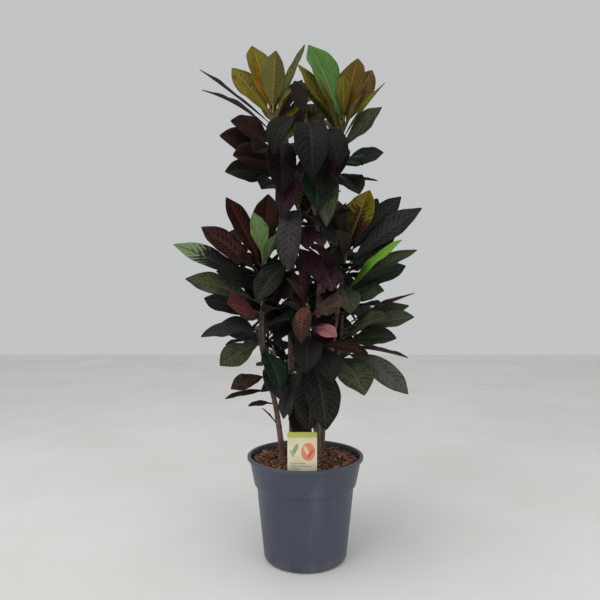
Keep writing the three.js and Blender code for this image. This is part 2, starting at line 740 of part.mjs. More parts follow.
// The stalk starts inside the stem, and the blade's first full section takes over from its end.
function leafSolid(leaf) {
  const stalk = [stalkSection(leaf, 0), stalkSection(leaf, leaf.stalk)];
  const blade = leaf.stations.map((t) => bladeSection(leaf, t));
  const points = [...stalk.flat(), ...blade.flat(), bladePoint(leaf, 1, 0)];
  const faces = [[0, 2, 1]];
  for (let i = 0; i < 3; i += 1) {
    const j = (i + 1) % 3;
    faces.push([i, j, j + 3], [i, j + 3, i + 3]);
  }
  faces.push([3, 4, 8], [3, 8, 7], [3, 7, 6], [4, 5, 9], [4, 9, 8], [5, 10, 9]);
  faces.push([5, 3, 6], [5, 6, 11], [5, 11, 10]);
  // Sides 4 and 5, above, are split along the same diagonals as 2 and 1, below, so a waved blade stays whole.
  for (let r = 6; r < 6 + 6 * leaf.stations.length; r += 6) {
    for (let i = 0; i < 6; i += 1) {
      const [a, b] = [r + i, r + ((i + 1) % 6)];
      if (r === 6 * leaf.stations.length) faces.push([a, b, points.length - 1]);
      else if (i > 3) faces.push([a, b, a + 6], [b, b + 6, a + 6]);
      else faces.push([a, b, b + 6], [a, b + 6, a + 6]);
    }
  }
  return solidOf(surface(points, faces));
}

function stemSolid(shoot) {
  return solidOf(loft(stemRings(shoot, STEM_SIDES, RING_SPACING)));
}

function leafyStem(stem) {
  const pieces = stem.shoots.flatMap((shoot) => [stemSolid(shoot), ...shoot.leaves.map(leafSolid)]);
  return wasm.Manifold.union(pieces).simplify(0.05);
}

// ---- Pot, compost and label -------------------------------------------------------------------------

function roundCorner(radius, size, z0, steps) {
  return Array.from({ length: steps + 1 }, (_, i) => {
    const a = (Math.PI / 2) * (i / steps);
    return [radius - size + size * Math.sin(a), z0 + size - size * Math.cos(a)];
  });
}

function potSolid() {
  const outer = [
    ...roundCorner(BODY_FOOT_RADIUS - 1, BASE_CORNER, 0, 3),
    [BODY_TOP_RADIUS, COLLAR_FOOT_Z - 5],
    [COLLAR_FOOT_RADIUS, COLLAR_FOOT_Z],
    [COLLAR_TOP_RADIUS, POT_HEIGHT - RIM_LIP_HEIGHT],
    [RIM_RADIUS, POT_HEIGHT - RIM_LIP_HEIGHT + 1],
    [RIM_RADIUS, POT_HEIGHT - 1.5],
    [RIM_RADIUS - 1.5, POT_HEIGHT],
  ];
  const inner = [
    [COLLAR_TOP_RADIUS - WALL, POT_HEIGHT],
    [COLLAR_FOOT_RADIUS - WALL, COLLAR_FOOT_Z + 1],
    [BODY_TOP_RADIUS - WALL, COLLAR_FOOT_Z - 4],
    ...roundCorner(BODY_FOOT_RADIUS - 1 - WALL, BASE_CORNER - WALL, WALL + 0.8, 1).reverse(),
  ];
  const profile = [[0, 0], ...outer, ...inner, [0, WALL + 0.8]].map(([r, z]) => new THREE.Vector2(r, z));
  const shell = new THREE.LatheGeometry(profile, POT_SIDES).rotateX(Math.PI / 2);
  const drains = Array.from({ length: DRAIN_HOLES }, (_, i) => {
    const a = (TAU * (i + 0.5)) / DRAIN_HOLES;
    const hole = new THREE.CylinderGeometry(DRAIN_RADIUS, DRAIN_RADIUS, 12, 8).rotateX(Math.PI / 2);
    return solidOf(hole.translate(DRAIN_RING * Math.cos(a), DRAIN_RING * Math.sin(a), 0));
  });
  return solidOf(shell).subtract(wasm.Manifold.union(drains));
}

// Inner radius of the pot at a height above its rounded corner.
function innerRadius(z) {
  const low = [BODY_FOOT_RADIUS - 1 - WALL, BASE_CORNER];
  const step = [BODY_TOP_RADIUS - WALL, COLLAR_FOOT_Z - 4];
  const ledge = [COLLAR_FOOT_RADIUS - WALL, COLLAR_FOOT_Z + 1];
  const top = [COLLAR_TOP_RADIUS - WALL, POT_HEIGHT];
  const between = ([r0, z0], [r1, z1]) => r0 + ((r1 - r0) * (z - z0)) / (z1 - z0);
  if (z > ledge[1]) return between(ledge, top);
  if (z > step[1]) return between(step, ledge);
  return between(low, step);
}

// Bark lumps: a few waves of unlike lengths, summed.
function lumps(x, y) {
  return (
    LUMP *
    (0.5 * Math.sin(0.21 * x + 1.3) * Math.cos(0.17 * y) +
      0.35 * Math.sin(0.43 * y + 0.29 * x) +
      0.3 * Math.cos(0.61 * x - 0.37 * y + 2.1))
  );
}

function soilSolid(holes) {
  const shrink = 1 / Math.cos(Math.PI / POT_SIDES); // the pot's facets reach in this much
  const ringAt = (z, radius, lumpy) =>
    Array.from({ length: SOIL_SIDES }, (_, k) => {
      const [x, y] = [radius * Math.cos((TAU * k) / SOIL_SIDES), radius * Math.sin((TAU * k) / SOIL_SIDES)];
      const share = 1 - radius / innerRadius(SOIL_Z);
      return [x, y, lumpy ? z + SOIL_MOUND * Math.sqrt(Math.max(share, 0)) + lumps(x, y) : z];
    });
  const fits = (z) => innerRadius(z) / shrink - SOIL_GAP;
  const top = fits(SOIL_Z - 4);
  const rings = [
    ringAt(SOIL_FOOT_Z, BODY_FOOT_RADIUS - WALL - BASE_CORNER, false),
    ringAt(BASE_CORNER + WALL, fits(BASE_CORNER + WALL) - 1, false),
    ringAt(COLLAR_FOOT_Z - 4, fits(COLLAR_FOOT_Z - 4), false),
    ringAt(COLLAR_FOOT_Z + 1.6, fits(COLLAR_FOOT_Z + 1.6), false),
    ringAt(SOIL_Z - 4, top, false),
    ...[0.97, 0.84, 0.68, 0.5, 0.3, 0.12].map((share) => ringAt(SOIL_Z, top * share, true)),
  ];
  const body = solidOf(loft(rings, [0, 0, SOIL_Z + SOIL_MOUND + lumps(0, 0)]));
  return body.subtract(wasm.Manifold.union(holes));
}

// A plain round hole for each cutting, and a slot for the label's stake.
function soilHoles() {
  const stems = STEMS.map(({ shoots: [{ path, thick }] }) => {
    const depth = 2 * (SOIL_Z - STEM_FOOT_Z + HOLE_GAP);
    const radius = (thick[0] + HOLE_GAP) / Math.cos(Math.PI / 12);
    const hole = new THREE.CylinderGeometry(radius, radius, depth, 12).rotateX(Math.PI / 2);
    return solidOf(hole.translate(path[0][0], path[0][1], SOIL_Z));
  });
  const depth = LABEL_THICKNESS + 2 * HOLE_GAP;
  const slot = new THREE.BoxGeometry(STAKE_WIDTH + 2 * HOLE_GAP, depth, 2 * STAKE_LENGTH + 2);
  const head = new THREE.BoxGeometry(LABEL_WIDTH + 2 * HOLE_GAP, depth, 2 * LABEL_HEAD_HEIGHT + 0.6);
  const z = LABEL_TOP_Z - LABEL_HEAD_HEIGHT;
  return [
    ...stems,
    solidOf(slot.translate(LABEL_X, LABEL_Y, z)),
    solidOf(head.translate(LABEL_X, LABEL_Y, LABEL_TOP_Z)),
  ];
}

function labelGeometry() {
  const [w, h, s, c] = [LABEL_WIDTH / 2, LABEL_HEAD_HEIGHT, STAKE_WIDTH / 2, LABEL_CORNER];
  const shape = new THREE.Shape();
  shape.moveTo(-w, c);
  shape.absarc(-w + c, c, c, Math.PI, 1.5 * Math.PI, false);
  shape.lineTo(-s, 0);
  shape.lineTo(-s, 12 - STAKE_LENGTH);
  shape.lineTo(0, -STAKE_LENGTH);
  shape.lineTo(s, 12 - STAKE_LENGTH);
  shape.lineTo(s, 0);
  shape.absarc(w - c, c, c, 1.5 * Math.PI, TAU, false);
  shape.absarc(w - c, h - c, c, 0, 0.5 * Math.PI, false);
  shape.absarc(-w + c, h - c, c, 0.5 * Math.PI, Math.PI, false);
  const cut = { depth: LABEL_THICKNESS, bevelEnabled: false, curveSegments: 3 };
  const flat = new THREE.ExtrudeGeometry(shape, cut);
  flat.rotateX(Math.PI / 2);
  return flat.translate(LABEL_X, LABEL_Y + LABEL_THICKNESS / 2, LABEL_TOP_Z - LABEL_HEAD_HEIGHT);
}

// ---- Assembly ---------------------------------------------------------------------------------------

growLeaves(STEMS);

const potLook = { color: 0x4a5361, roughness: 0.5, metalness: 0 };
const soilLook = { color: 0x4a2c22, roughness: 1, metalness: 0 };
const labelLook = { color: 0xd9d3a4, roughness: 0.35, metalness: 0 };
const leafLook = { color: 0x2c2a2a, roughness: 0.35, metalness: 0 };

const croton = new THREE.Group();
croton.name = "potted_croton";
croton.add(named("pot", geometryOf(potSolid()), potLook));
croton.add(named("soil", geometryOf(soilSolid(soilHoles())), soilLook));
croton.add(named("plant_label", labelGeometry(), labelLook));
for (const stem of STEMS) croton.add(named(stem.name, geometryOf(leafyStem(stem)), leafLook));

export default croton;
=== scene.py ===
# Potted croton, dressed: turned pot, bark compost, printed plant label, and four leafy stems with
# veined, waved leaves. Lengths of the plant are in millimetres until a mesh is made. Each leaf stands
# where its plainer solid stands, because the same rule sets both.

import math

import bpy
import numpy as np
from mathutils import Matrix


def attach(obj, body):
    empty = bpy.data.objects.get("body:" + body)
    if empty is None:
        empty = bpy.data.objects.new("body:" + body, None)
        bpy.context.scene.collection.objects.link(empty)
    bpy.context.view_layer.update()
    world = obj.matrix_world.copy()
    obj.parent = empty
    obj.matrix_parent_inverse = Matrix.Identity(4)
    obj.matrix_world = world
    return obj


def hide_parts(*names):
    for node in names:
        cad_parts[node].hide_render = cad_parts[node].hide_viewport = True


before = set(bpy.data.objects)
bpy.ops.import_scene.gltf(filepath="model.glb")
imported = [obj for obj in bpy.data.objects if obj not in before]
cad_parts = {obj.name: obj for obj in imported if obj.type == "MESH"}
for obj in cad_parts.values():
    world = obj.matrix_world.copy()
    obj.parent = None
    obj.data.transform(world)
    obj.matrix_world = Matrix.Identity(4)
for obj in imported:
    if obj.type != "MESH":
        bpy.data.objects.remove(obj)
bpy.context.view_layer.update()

# ---- Sizes, as in the solids ---------------------------------------------------------------------

POT_HEIGHT, RIM_RADIUS, RIM_LIP_HEIGHT = 200, 115, 6
COLLAR_TOP_RADIUS, COLLAR_FOOT_RADIUS, COLLAR_FOOT_Z = 110.3, 100.8, 146
BODY_TOP_RADIUS, BODY_FOOT_RADIUS, BASE_CORNER, WALL = 95.8, 83, 8, 2
DRAIN_HOLES, DRAIN_RADIUS, DRAIN_RING, DRAIN_CUT = 8, 5, 62, (-4, 6)
SOIL_Z, SOIL_MOUND, LUMP = 191, 5, 2.6
STEM_FOOT_Z, RING_SPACING = 112, 48
LABEL_WIDTH, LABEL_TOP_Z, LABEL_HEAD_HEIGHT, LABEL_THICKNESS, LABEL_CORNER = 54, 266, 72, 0.9, 3
STAKE_WIDTH, STAKE_LENGTH, LABEL_X, LABEL_Y = 14, 44, -6.5, -93
BLADE_THICKNESS, RIB_DEPTH = 0.9, 0.9
STATIONS = (0.3, 0.6, 0.85)
LOWEST_LEAF_Z, CLEARANCE, STEM_CLEARANCE = 214, 2.4, 2

# Down a shoot, from its tip: (share of the way, value). Slopes, turns and folds are in degrees.
RISE = ((0, 78), (0.12, 64), (0.3, 44), (0.55, 18), (0.8, -6), (1, -22))
BEND = ((0, -8), (0.3, -22), (0.6, -34), (1, -40))
SIZE = ((0, 0.62), (0.08, 0.84), (0.2, 1), (0.35, 1.06), (0.75, 1), (1, 0.84))
STALK = ((0, 14), (0.3, 20), (1, 30))
FOLD = ((0, 34), (0.2, 22), (0.5, 14), (1, 10))
BACK_TURN = ((0, 0.3), (0.3, 0.4), (0.6, 0.8), (1, 1))
GOLDEN_TURN, LEAN = 137.5, 32
BLADE_LENGTH, BLADE_SLENDERNESS = 148, 0.4
WAVE, WAVES, WIDEST, BLUNT = 0.05, 1.6, 1.27, 0.75
# How far the leaves reach from the plant's middle at each height, and how much farther behind it.
REACH = (
    (200, 40), (250, 60), (300, 80), (345, 125), (389, 150), (438, 160), (487, 175), (576, 175), (625, 185),
    (674, 140), (704, 100), (753, 85), (800, 120), (880, 95), (900, 110), (985, 115), (1010, 100), (1045, 60),
)
BACK_DEPTH = 1.7
# How far chance takes a leaf by rule from its place; then the stalk and fold of a listed leaf.
SIZE_DRAW, TURN_DRAW, RISE_DRAW, BEND_DRAW, WIDTH_DRAW, ROLL_DRAW, TWIST_DRAW = 0.09, 9, 8, 7, 0.12, 14, 16
ROOT_INSET, LONGEST_STALK, STALK_SHARE, PLACED_FOLD = 4, 26, 0.14, 14
STALK_CLEARANCE, EDGE_CLEARANCE, LABEL_CLEARANCE = 3.2, 1.05, (3, 4, 4)
PLACED_SEEDS, RULE_SEEDS, HUE_SEEDS, LOOK_SEEDS, CHIP_SEED = (911, 53), (4001, 97), (70, 1), (500, 1), 31337
# Ways to change a leaf that isn't clear of the others, in turn: turn, rise, share of its size.
TRIES = [
    (way * turn, rise, share)
    for turn, rise, share in (
        (0, 0, 1), (5, 3, 1), (0, -6, 1), (0, 7, 1), (9, -5, 1), (12, 6, 1), (0, -12, 1), (0, 14, 1),
        (18, 0, 1), (18, -10, 0.95), (16, 14, 0.95), (28, -4, 0.92), (0, 24, 0.88), (0, -22, 0.88),
        (28, 14, 0.88), (38, -14, 0.85), (48, 6, 0.8), (14, -26, 0.75), (12, 30, 0.75), (0, 6, 0.66),
        (30, 0, 0.66), (60, -10, 0.6),
    )
    for way in ((1, -1) if turn else (1,))
]
STEMS = {}


def shoot(plant, path, thick, count, gap, reach, turn, size, lift, hues, *placed):
    """Adds a shoot to a plant, with its leaves by rule (count) and listed one by one (placed)."""
    made = dict(
        path=path, thick=thick, count=count, gap=gap, reach=reach, turn=turn, size=size, lift=lift,
        hues=hues, placed=placed,
    )
    STEMS.setdefault(plant, []).append(made)


# Each listed leaf: distance below the shoot's tip, tip of the leaf, width, bend, roll, colouring.
shoot(
    "croton_tall_left",
    [(-26, 32, STEM_FOOT_Z), (-26, 32, 196), (-30, 30, 420), (-34, 22, 640), (-46, 10, 770), (-67, 2, 882)],
    (7.5, 3.6), 32, 7, 560, 100, 1, 2, "crown",
    (8, (-110, 40, 1032), 64, -6, -20, "amber"), (16, (-150, 30, 982), 54, -8, -54, "gold"),
    (4, (-58, -14, 998), 54, -6, 0, "sage"), (12, (0, 74, 1051), 30, -4, 0, "olive"),
    (20, (-72, 62, 1036), 46, -4, 10, "olive"), (24, (-198, 0, 981), 34, -4, -12, "slate"),
    (46, (-199, -40, 910), 42, -34, -20, "slate"), (66, (-142, -58, 845), 56, -14, -72, "maroon"),
    (92, (-158, -68, 810), 62, -16, -72, "maroon"), (108, (-134, -88, 772), 58, -14, -70, "maroon"),
    (124, (-152, -62, 748), 54, -14, -68, "slate"), (64, (-44, -112, 694), 58, -100, -10, "wine"),
    (82, (-92, -112, 770), 54, -36, -40, "wine"), (146, (-80, -108, 706), 50, -24, -30, "wine"),
    (290, (-82, -62, 522), 50, -40, -20, "dark"), (366, (-24, -52, 458), 50, -40, 0, "forest"),
    (26, (-15, 60, 982), 46, -6, 10, "dark"),
)
shoot(
    "croton_tall_left",
    [(-33, 24, 600), (-46, 52, 650), (-58, 74, 710), (-62, 86, 770)],
    (4.8, 3.2), 26, 5, 160, 20, 0.95, 0, "wine",
    (70, (-94, 110, 669), 52, -30, -20, "dark"), (118, (-93, 96, 589), 52, -34, -20, "forest"),
    (140, (-63, 110, 612), 50, -50, 0, "dark"),
)
shoot(
    "croton_tall_left",
    [(-33, 25, 530), (-26, 4, 570), (-16, -26, 620), (-12, -42, 684)],
    (4.8, 3.2), 8, 16, 150, 250, 0.9, 0, "wine",
    (2, (-30, -128, 556), 48, -110, 0, "grey_painted_sheen"), (22, (34, -112, 634), 50, -64, 0, "ink"),
    (34, (2, -136, 606), 50, -56, 0, "plum"), (46, (56, -96, 604), 48, -44, 10, "slate"),
    (72, (22, -104, 540), 50, -44, 0, "plum"), (120, (-40, -72, 507), 50, -44, 0, "dark"),
)
shoot(
    "croton_tall_right",
    [(26, -6, STEM_FOOT_Z), (26, -6, 196), (22, 0, 380), (34, 4, 620), (60, 2, 760), (77, 0, 866)],
    (7.5, 3.6), 32, 7, 550, 60, 1, 2, "crown",
    (8, (109, 40, 1006), 56, -6, 20, "ochre"), (14, (6, -8, 1012), 84, -14, -58, "green"),
    (24, (-16, -30, 964), 50, -8, -60, "gold"), (38, (22, -52, 930), 48, -10, -60, "gold"),
    (20, (141, 60, 990), 52, -6, 50, "brown"), (38, (157, -10, 936), 32, -8, 25, "sage"),
    (30, (112, -6, 926), 46, -8, 50, "gold"), (62, (139, -40, 885), 48, -8, 70, "moss"),
    (92, (150, -40, 790), 44, -8, 66, "slate"), (116, (150, 40, 753), 22, -10, 0, "dark"),
    (58, (50, -134, 716), 54, -66, 0, "plum"), (84, (104, -96, 752), 46, -24, 30, "pine"),
    (104, (98, -92, 700), 50, -30, 20, "slate"), (116, (42, -84, 612), 44, -100, 0, "moss"),
    (290, (48, -96, 522), 54, -44, 10, "mauve"),
)
shoot(
    "croton_tall_right",
    [(32, 4, 600), (22, -14, 660), (8, -26, 740), (0, -26, 868)],
    (5.2, 3.4), 0, 8, 210, 200, 0.9, 2, "wine",
    (6, (-22, -66, 917), 36, -6, 0, "wine"), (28, (10, -168, 708), 64, -104, 0, "ink"),
    (16, (-44, -140, 752), 46, -96, -10, "ink"), (40, (56, -142, 735), 58, -90, 10, "ink"),
    (80, (30, -124, 690), 50, -60, 0, "dark"), (100, (38, -96, 636), 56, -60, 0, "forest"),
    (110, (-8, -128, 652), 52, -60, 0, "plum"),
)
shoot(
    "croton_tall_right",
    [(28, 3, 500), (42, 30, 550), (54, 58, 600), (58, 74, 652)],
    (4.8, 3.2), 26, 5, 150, 140, 0.95, 0, "wine",
    (6, (20, 92, 736), 54, -6, 0, "dark"), (12, (98, 98, 718), 56, -6, 0, "forest"),
    (20, (65, 124, 569), 54, -60, 0, "dark"), (40, (133, 104, 586), 50, -30, 10, "forest"),
    (60, (102, 96, 507), 52, -34, 10, "plum"),
)
shoot(
    "croton_tall_right",
    [(23, -4, 300), (16, -36, 345), (8, -62, 410), (4, -76, 500)],
    (4.6, 3.2), 6, 20, 150, 300, 0.85, -6, "rose",
    (2, (-9, -150, 431), 34, -90, 0, "coral"), (40, (53, -150, 443), 30, -20, 40, "pink"),
    (6, (-40, -96, 545), 36, -10, 0, "rose"), (20, (73, -120, 502), 46, -20, 55, "clay"),
    (26, (-34, -110, 503), 46, -30, 0, "pine"), (54, (0, -176, 384), 54, -50, 0, "dark"),
    (70, (44, -164, 366), 56, -50, 5, "dark"), (82, (34, -152, 283), 66, -40, 0, "slate"),
    (94, (6, -158, 297), 60, -40, 0, "slate"), (104, (-30, -142, 304), 48, -30, 0, "grey_painted_sheen"),
    (118, (-2, -128, 284), 52, -30, 0, "mauve"),
)
shoot(
    "croton_left",
    [
        (-45, -24, STEM_FOOT_Z), (-45, -24, 196), (-56, -26, 290),
        (-78, -24, 390), (-84, -20, 480), (-82, -16, 590),
    ],
    (7, 3.4), 26, 7, 260, 205, 0.95, 2, "wine",
    (4, (-100, -44, 675), 44, -10, 0, "pale"), (8, (-76, 36, 725), 56, -6, 0, "red"),
    (24, (-158, 0, 712), 48, -6, -45, "red"), (16, (-55, -66, 630), 34, -10, 20, "pale"),
    (34, (-204, -20, 650), 52, -10, -60, "rust"), (54, (-254, -40, 614), 46, -12, -60, "greentip"),
    (86, (-222, -58, 562), 50, -16, -56, "moss"), (68, (-166, -76, 560), 54, -22, -60, "dark"),
    (44, (-126, -74, 588), 46, -30, -40, "plum"), (110, (-46, -76, 481), 50, -50, 0, "forest"),
    (134, (-14, -84, 462), 50, -20, 30, "forest"), (118, (-50, -60, 413), 50, -44, 10, "slate"),
    (84, (-56, -66, 503), 48, -44, 0, "plum"), (150, (-41, -50, 385), 48, -50, 0, "dark"),
    (12, (-146, 34, 585), 46, -16, -40, "dark"), (166, (-25, 0, 411), 50, -20, 30, "dark"),
    (256, (-155, -40, 317), 22, -14, -20, "slate"), (282, (-110, -44, 304), 20, -14, -20, "mauve"),
    (326, (-84, -36, 299), 12, -8, 0, "mauve"), (120, (-209, 40, 511), 50, -16, -50, "dark"),
    (170, (-173, 50, 461), 50, -20, -50, "slate"),
)
shoot(
    "croton_left",
    [(-70, -26, 355), (-82, -42, 400), (-86, -54, 440), (-84, -60, 490)],
    (4.4, 3), 0, 8, 120, 80, 0.85, -4, "rose",
    (20, (-138, -136, 500), 60, -30, -52, "rosy"), (42, (-192, -90, 439), 44, -34, -30, "grey_painted_sheen"),
    (52, (-152, -58, 422), 30, -14, -10, "dark"), (64, (-154, -112, 389), 48, -20, -50, "moss"),
    (72, (-46, -130, 350), 52, -44, -10, "forest"), (132, (-141, -60, 339), 38, -16, -40, "clay"),
    (104, (-46, -120, 330), 50, -50, 0, "grey_painted_sheen"),
)
shoot(
    "croton_left",
    [(-58, -26, 300), (-70, 10, 350), (-78, 46, 410), (-76, 64, 470)],
    (4.4, 3), 28, 5, 172, 150, 0.95, -4, "rose",
    (2, (-89, 108, 623), 54, -6, 0, "dark"), (8, (-130, 100, 590), 54, -6, -20, "forest"),
    (26, (-32, 100, 485), 50, -10, 20, "dark"), (50, (-45, 90, 399), 50, -40, 10, "dark"),
)
shoot(
    "croton_right",
    [(34, 36, STEM_FOOT_Z), (34, 36, 196), (40, 28, 300), (52, 12, 400), (66, -2, 500), (80, -8, 604)],
    (7, 3.4), 28, 7, 270, 10, 0.95, 2, "wine",
    (6, (130, 10, 728), 60, -6, 50, "blush"), (8, (54, -44, 704), 54, -6, -30, "moss"),
    (14, (200, 48, 722), 46, -10, 55, "slate"), (32, (236, 0, 680), 52, -12, 58, "grey_painted_sheen"),
    (52, (186, -16, 636), 50, -12, 60, "slate"), (92, (176, -90, 617), 46, -8, 44, "lime"),
    (78, (217, -30, 604), 48, -12, 40, "moss"), (44, (96, -84, 560), 48, -40, 10, "dark"),
    (20, (58, -60, 640), 44, -30, 0, "slate"), (60, (0, -60, 610), 56, -20, -10, "plum"),
    (86, (-6, -70, 548), 52, -24, -15, "plum"), (110, (148, -62, 524), 54, -24, 45, "moss"),
    (64, (81, -86, 481), 50, -50, 0, "fern"), (40, (86, -74, 566), 48, -44, 10, "dark"),
    (92, (38, -64, 499), 46, -40, -20, "plum"), (128, (22, -56, 437), 50, -50, -10, "dark"),
    (118, (164, 20, 470), 56, -16, 30, "fern"), (150, (24, -30, 402), 50, -44, -10, "plum"),
    (90, (210, 50, 578), 50, -16, 50, "forest"), (10, (183, 60, 726), 46, -6, 40, "dark"),
)
shoot(
    "croton_right",
    [(44, 22, 330), (58, -10, 380), (68, -36, 425), (70, -52, 480)],
    (4.4, 3), 0, 8, 130, 300, 0.9, -6, "rose",
    (20, (206, -56, 520), 36, -10, 5, "plum"), (28, (200, -36, 496), 44, -12, 40, "moss"),
    (36, (194, -92, 490), 50, -16, 45, "fern"), (48, (165, -112, 464), 52, -24, 40, "moss"),
    (56, (168, -80, 436), 50, -24, 45, "fern"), (62, (193, -60, 398), 36, -16, 5, "rust"),
    (72, (183, -112, 338), 48, -30, 45, "pale_painted_sheen"), (84, (110, -140, 335), 68, -34, 10, "moss"),
)
shoot(
    "croton_right",
    [(36, 34, 250), (40, 52, 310), (46, 66, 370), (46, 72, 440)],
    (4.6, 3), 28, 5, 184, 60, 1, -4, "rose",
    (2, (64, 108, 590), 54, -6, 0, "dark"), (8, (107, 104, 507), 52, -8, 20, "forest"),
    (14, (-4, 104, 559), 52, -8, -20, "plum"), (30, (111, 96, 451), 50, -10, 20, "forest"),
    (50, (97, 90, 442), 50, -30, 20, "forest"),
)

# Colourings: the blade, its second colour, the ribs, and how the second colour spreads:
# its share, how it grows to the tip and to the edge, and how patchy it is.
EVEN = (0.4, 0.2, 0.4, 1.0)
TINTS = {
    "gold": ((0.165, 0.13, 0.015), (0.085, 0.085, 0.012), (0.26, 0.21, 0.055), (0.35, -0.1, 0.5, 1.0)),
    "amber": ((0.36, 0.13, 0.010), (0.125, 0.11, 0.008), (0.30, 0.19, 0.025), (0.5, 1.9, 0.3, 0.8)),
    "ochre": ((0.12, 0.06, 0.004), (0.075, 0.058, 0.004), (0.20, 0.12, 0.02), (0.4, 0.2, 0.5, 1.0)),
    "sage": ((0.17, 0.135, 0.008), (0.12, 0.17, 0.035), (0.26, 0.25, 0.05), (0.35, 0.2, 1.3, 0.9)),
    "green": ((0.055, 0.135, 0.03), (0.08, 0.17, 0.04), (0.15, 0.23, 0.08), (0.5, 0.3, 0.2, 0.8)),
    "pale": ((0.19, 0.36, 0.11), (0.11, 0.22, 0.06), (0.30, 0.42, 0.18), (0.4, -0.5, 0.3, 0.8)),
    "lime": ((0.20, 0.46, 0.04), (0.10, 0.27, 0.025), (0.36, 0.54, 0.15), (0.4, -0.9, 0.2, 0.5)),
    "olive": ((0.085, 0.085, 0.016), (0.03, 0.035, 0.010), (0.18, 0.15, 0.055), (0.5, 0.2, 0.5, 1.0)),
    "brown": ((0.15, 0.08, 0.015), (0.07, 0.045, 0.014), (0.22, 0.14, 0.05), (0.45, 0.3, 0.4, 1.0)),
    "blush": ((0.045, 0.011, 0.010), (0.26, 0.22, 0.020), (0.24, 0.18, 0.05), (0.3, 2.0, 0.2, 0.8)),
    "red": ((0.045, 0.013, 0.010), (0.024, 0.014, 0.008), (0.09, 0.03, 0.022), (0.35, 0.2, 0.7, 0.9)),
    "rust": ((0.055, 0.022, 0.014), (0.022, 0.010, 0.009), (0.085, 0.036, 0.026), (0.45, 0.3, 0.4, 1.0)),
    "pink": ((0.36, 0.14, 0.15), (0.045, 0.006, 0.008), (0.26, 0.08, 0.085), (0.1, -2.2, 0.4, 0.8)),
    "rose": ((0.028, 0.005, 0.010), (0.010, 0.004, 0.006), (0.05, 0.014, 0.018), (0.35, 0.2, 0.5, 1.0)),
    "rosy": ((0.13, 0.034, 0.038), (0.075, 0.03, 0.022), (0.17, 0.06, 0.06), (0.35, 0.8, 0.3, 0.9)),
    "coral": ((0.145, 0.052, 0.034), (0.034, 0.02, 0.013), (0.12, 0.05, 0.033), (0.5, 2.2, 0.3, 0.8)),
    "clay": ((0.078, 0.048, 0.036), (0.034, 0.021, 0.017), (0.11, 0.068, 0.053), EVEN),
    # a dark leaf painted lighter and flat grey: painted sheen, standing in for the gloss on dark leaves
    "grey_painted_sheen": ((0.040, 0.037, 0.038), (0.023, 0.021, 0.022), (0.062, 0.052, 0.05), EVEN),
    "moss": ((0.064, 0.074, 0.037), (0.033, 0.041, 0.025), (0.10, 0.10, 0.055), (0.45, 0.1, 0.4, 1.0)),
    "fern": ((0.058, 0.077, 0.044), (0.042, 0.05, 0.032), (0.09, 0.10, 0.05), (0.45, 0.1, 0.4, 1.0)),
    "maroon": ((0.031, 0.014, 0.012), (0.016, 0.011, 0.010), (0.055, 0.022, 0.021), EVEN),
    "plum": ((0.03, 0.010, 0.019), (0.014, 0.009, 0.013), (0.06, 0.02, 0.032), EVEN),
    "mauve": ((0.06, 0.03, 0.036), (0.02, 0.014, 0.018), (0.11, 0.05, 0.055), (0.45, 0.4, 0.4, 1.0)),
    "wine": ((0.011, 0.005, 0.006), (0.007, 0.005, 0.005), (0.03, 0.012, 0.013), EVEN),
    # a dark leaf painted pale grey: painted sheen, standing in for the gloss on dark leaves
    "pale_painted_sheen": ((0.085, 0.082, 0.070), (0.05, 0.05, 0.043), (0.11, 0.10, 0.085), EVEN),
    "pine": ((0.005, 0.016, 0.007), (0.004, 0.009, 0.005), (0.018, 0.028, 0.012), (0.45, 0, 0.4, 1.0)),
    "dark": ((0.014, 0.012, 0.012), (0.010, 0.013, 0.010), (0.034, 0.019, 0.019), (0.5, 0, 0.3, 1.0)),
    "ink": ((0.006, 0.008, 0.005), (0.007, 0.006, 0.006), (0.022, 0.02, 0.014), (0.5, 0, 0.3, 1.0)),
    "slate": ((0.024, 0.026, 0.019), (0.014, 0.015, 0.014), (0.05, 0.044, 0.03), (0.45, 0, 0.4, 1.0)),
    "forest": ((0.014, 0.032, 0.017), (0.010, 0.017, 0.012), (0.044, 0.052, 0.025), (0.45, 0, 0.4, 1.0)),
    "greentip": ((0.014, 0.015, 0.015), (0.18, 0.25, 0.12), (0.05, 0.04, 0.03), (-0.2, 4.0, 0.1, 0.5)),
}

# What the other leaves are, from the tip of a shoot down: (up to this share of HUE_REACH, choices).
HUE_REACH = 190
HUES = {
    "crown": (
        (0.2, "gold amber olive gold"), (0.5, "maroon dark maroon olive"), (1, "dark slate forest plum"),
    ),
    "wine": ((0.15, "olive red maroon"), (0.5, "maroon dark plum slate"), (1, "dark slate forest")),
    "rose": ((0.15, "rust red plum"), (0.5, "plum dark forest rust"), (1, "forest slate dark")),
}

# ---- The rule that sets the leaves ---------------------------------------------------------------

TAU = 2 * math.pi


def random_from(first, step=0, number=0):
    state = first + step * number
    while True:
        state = state * 48271 % 2147483647
        yield state / 2147483647


def along(table, share):
    i = 1
    while i < len(table) - 1 and table[i][0] < share:
        i += 1
    (t0, v0), (t1, v1) = table[i - 1], table[i]
    return v0 + (v1 - v0) * (share - t0) / (t1 - t0)


def smooth_path(points, steps=8):
    line = []
    for i in range(len(points) - 1):
        p, q, r, s = (points[min(max(i + d, 0), len(points) - 1)] for d in (-1, 0, 1, 2))
        for j in range(steps):
            t = j / steps
            line.append([
                0.5 * (
                    2 * q[k] + (r[k] - p[k]) * t + (2 * p[k] - 5 * q[k] + 4 * r[k] - s[k]) * t * t
                    + (3 * q[k] - p[k] - 3 * r[k] + s[k]) * t * t * t
                )
                for k in range(3)
            ])
    return [*line, list(points[-1])]


def distance(a, b):
    return math.sqrt((a[0] - b[0]) ** 2 + (a[1] - b[1]) ** 2 + (a[2] - b[2]) ** 2)


def length_of(line):
    return sum(distance(a, b) for a, b in zip(line[1:], line))


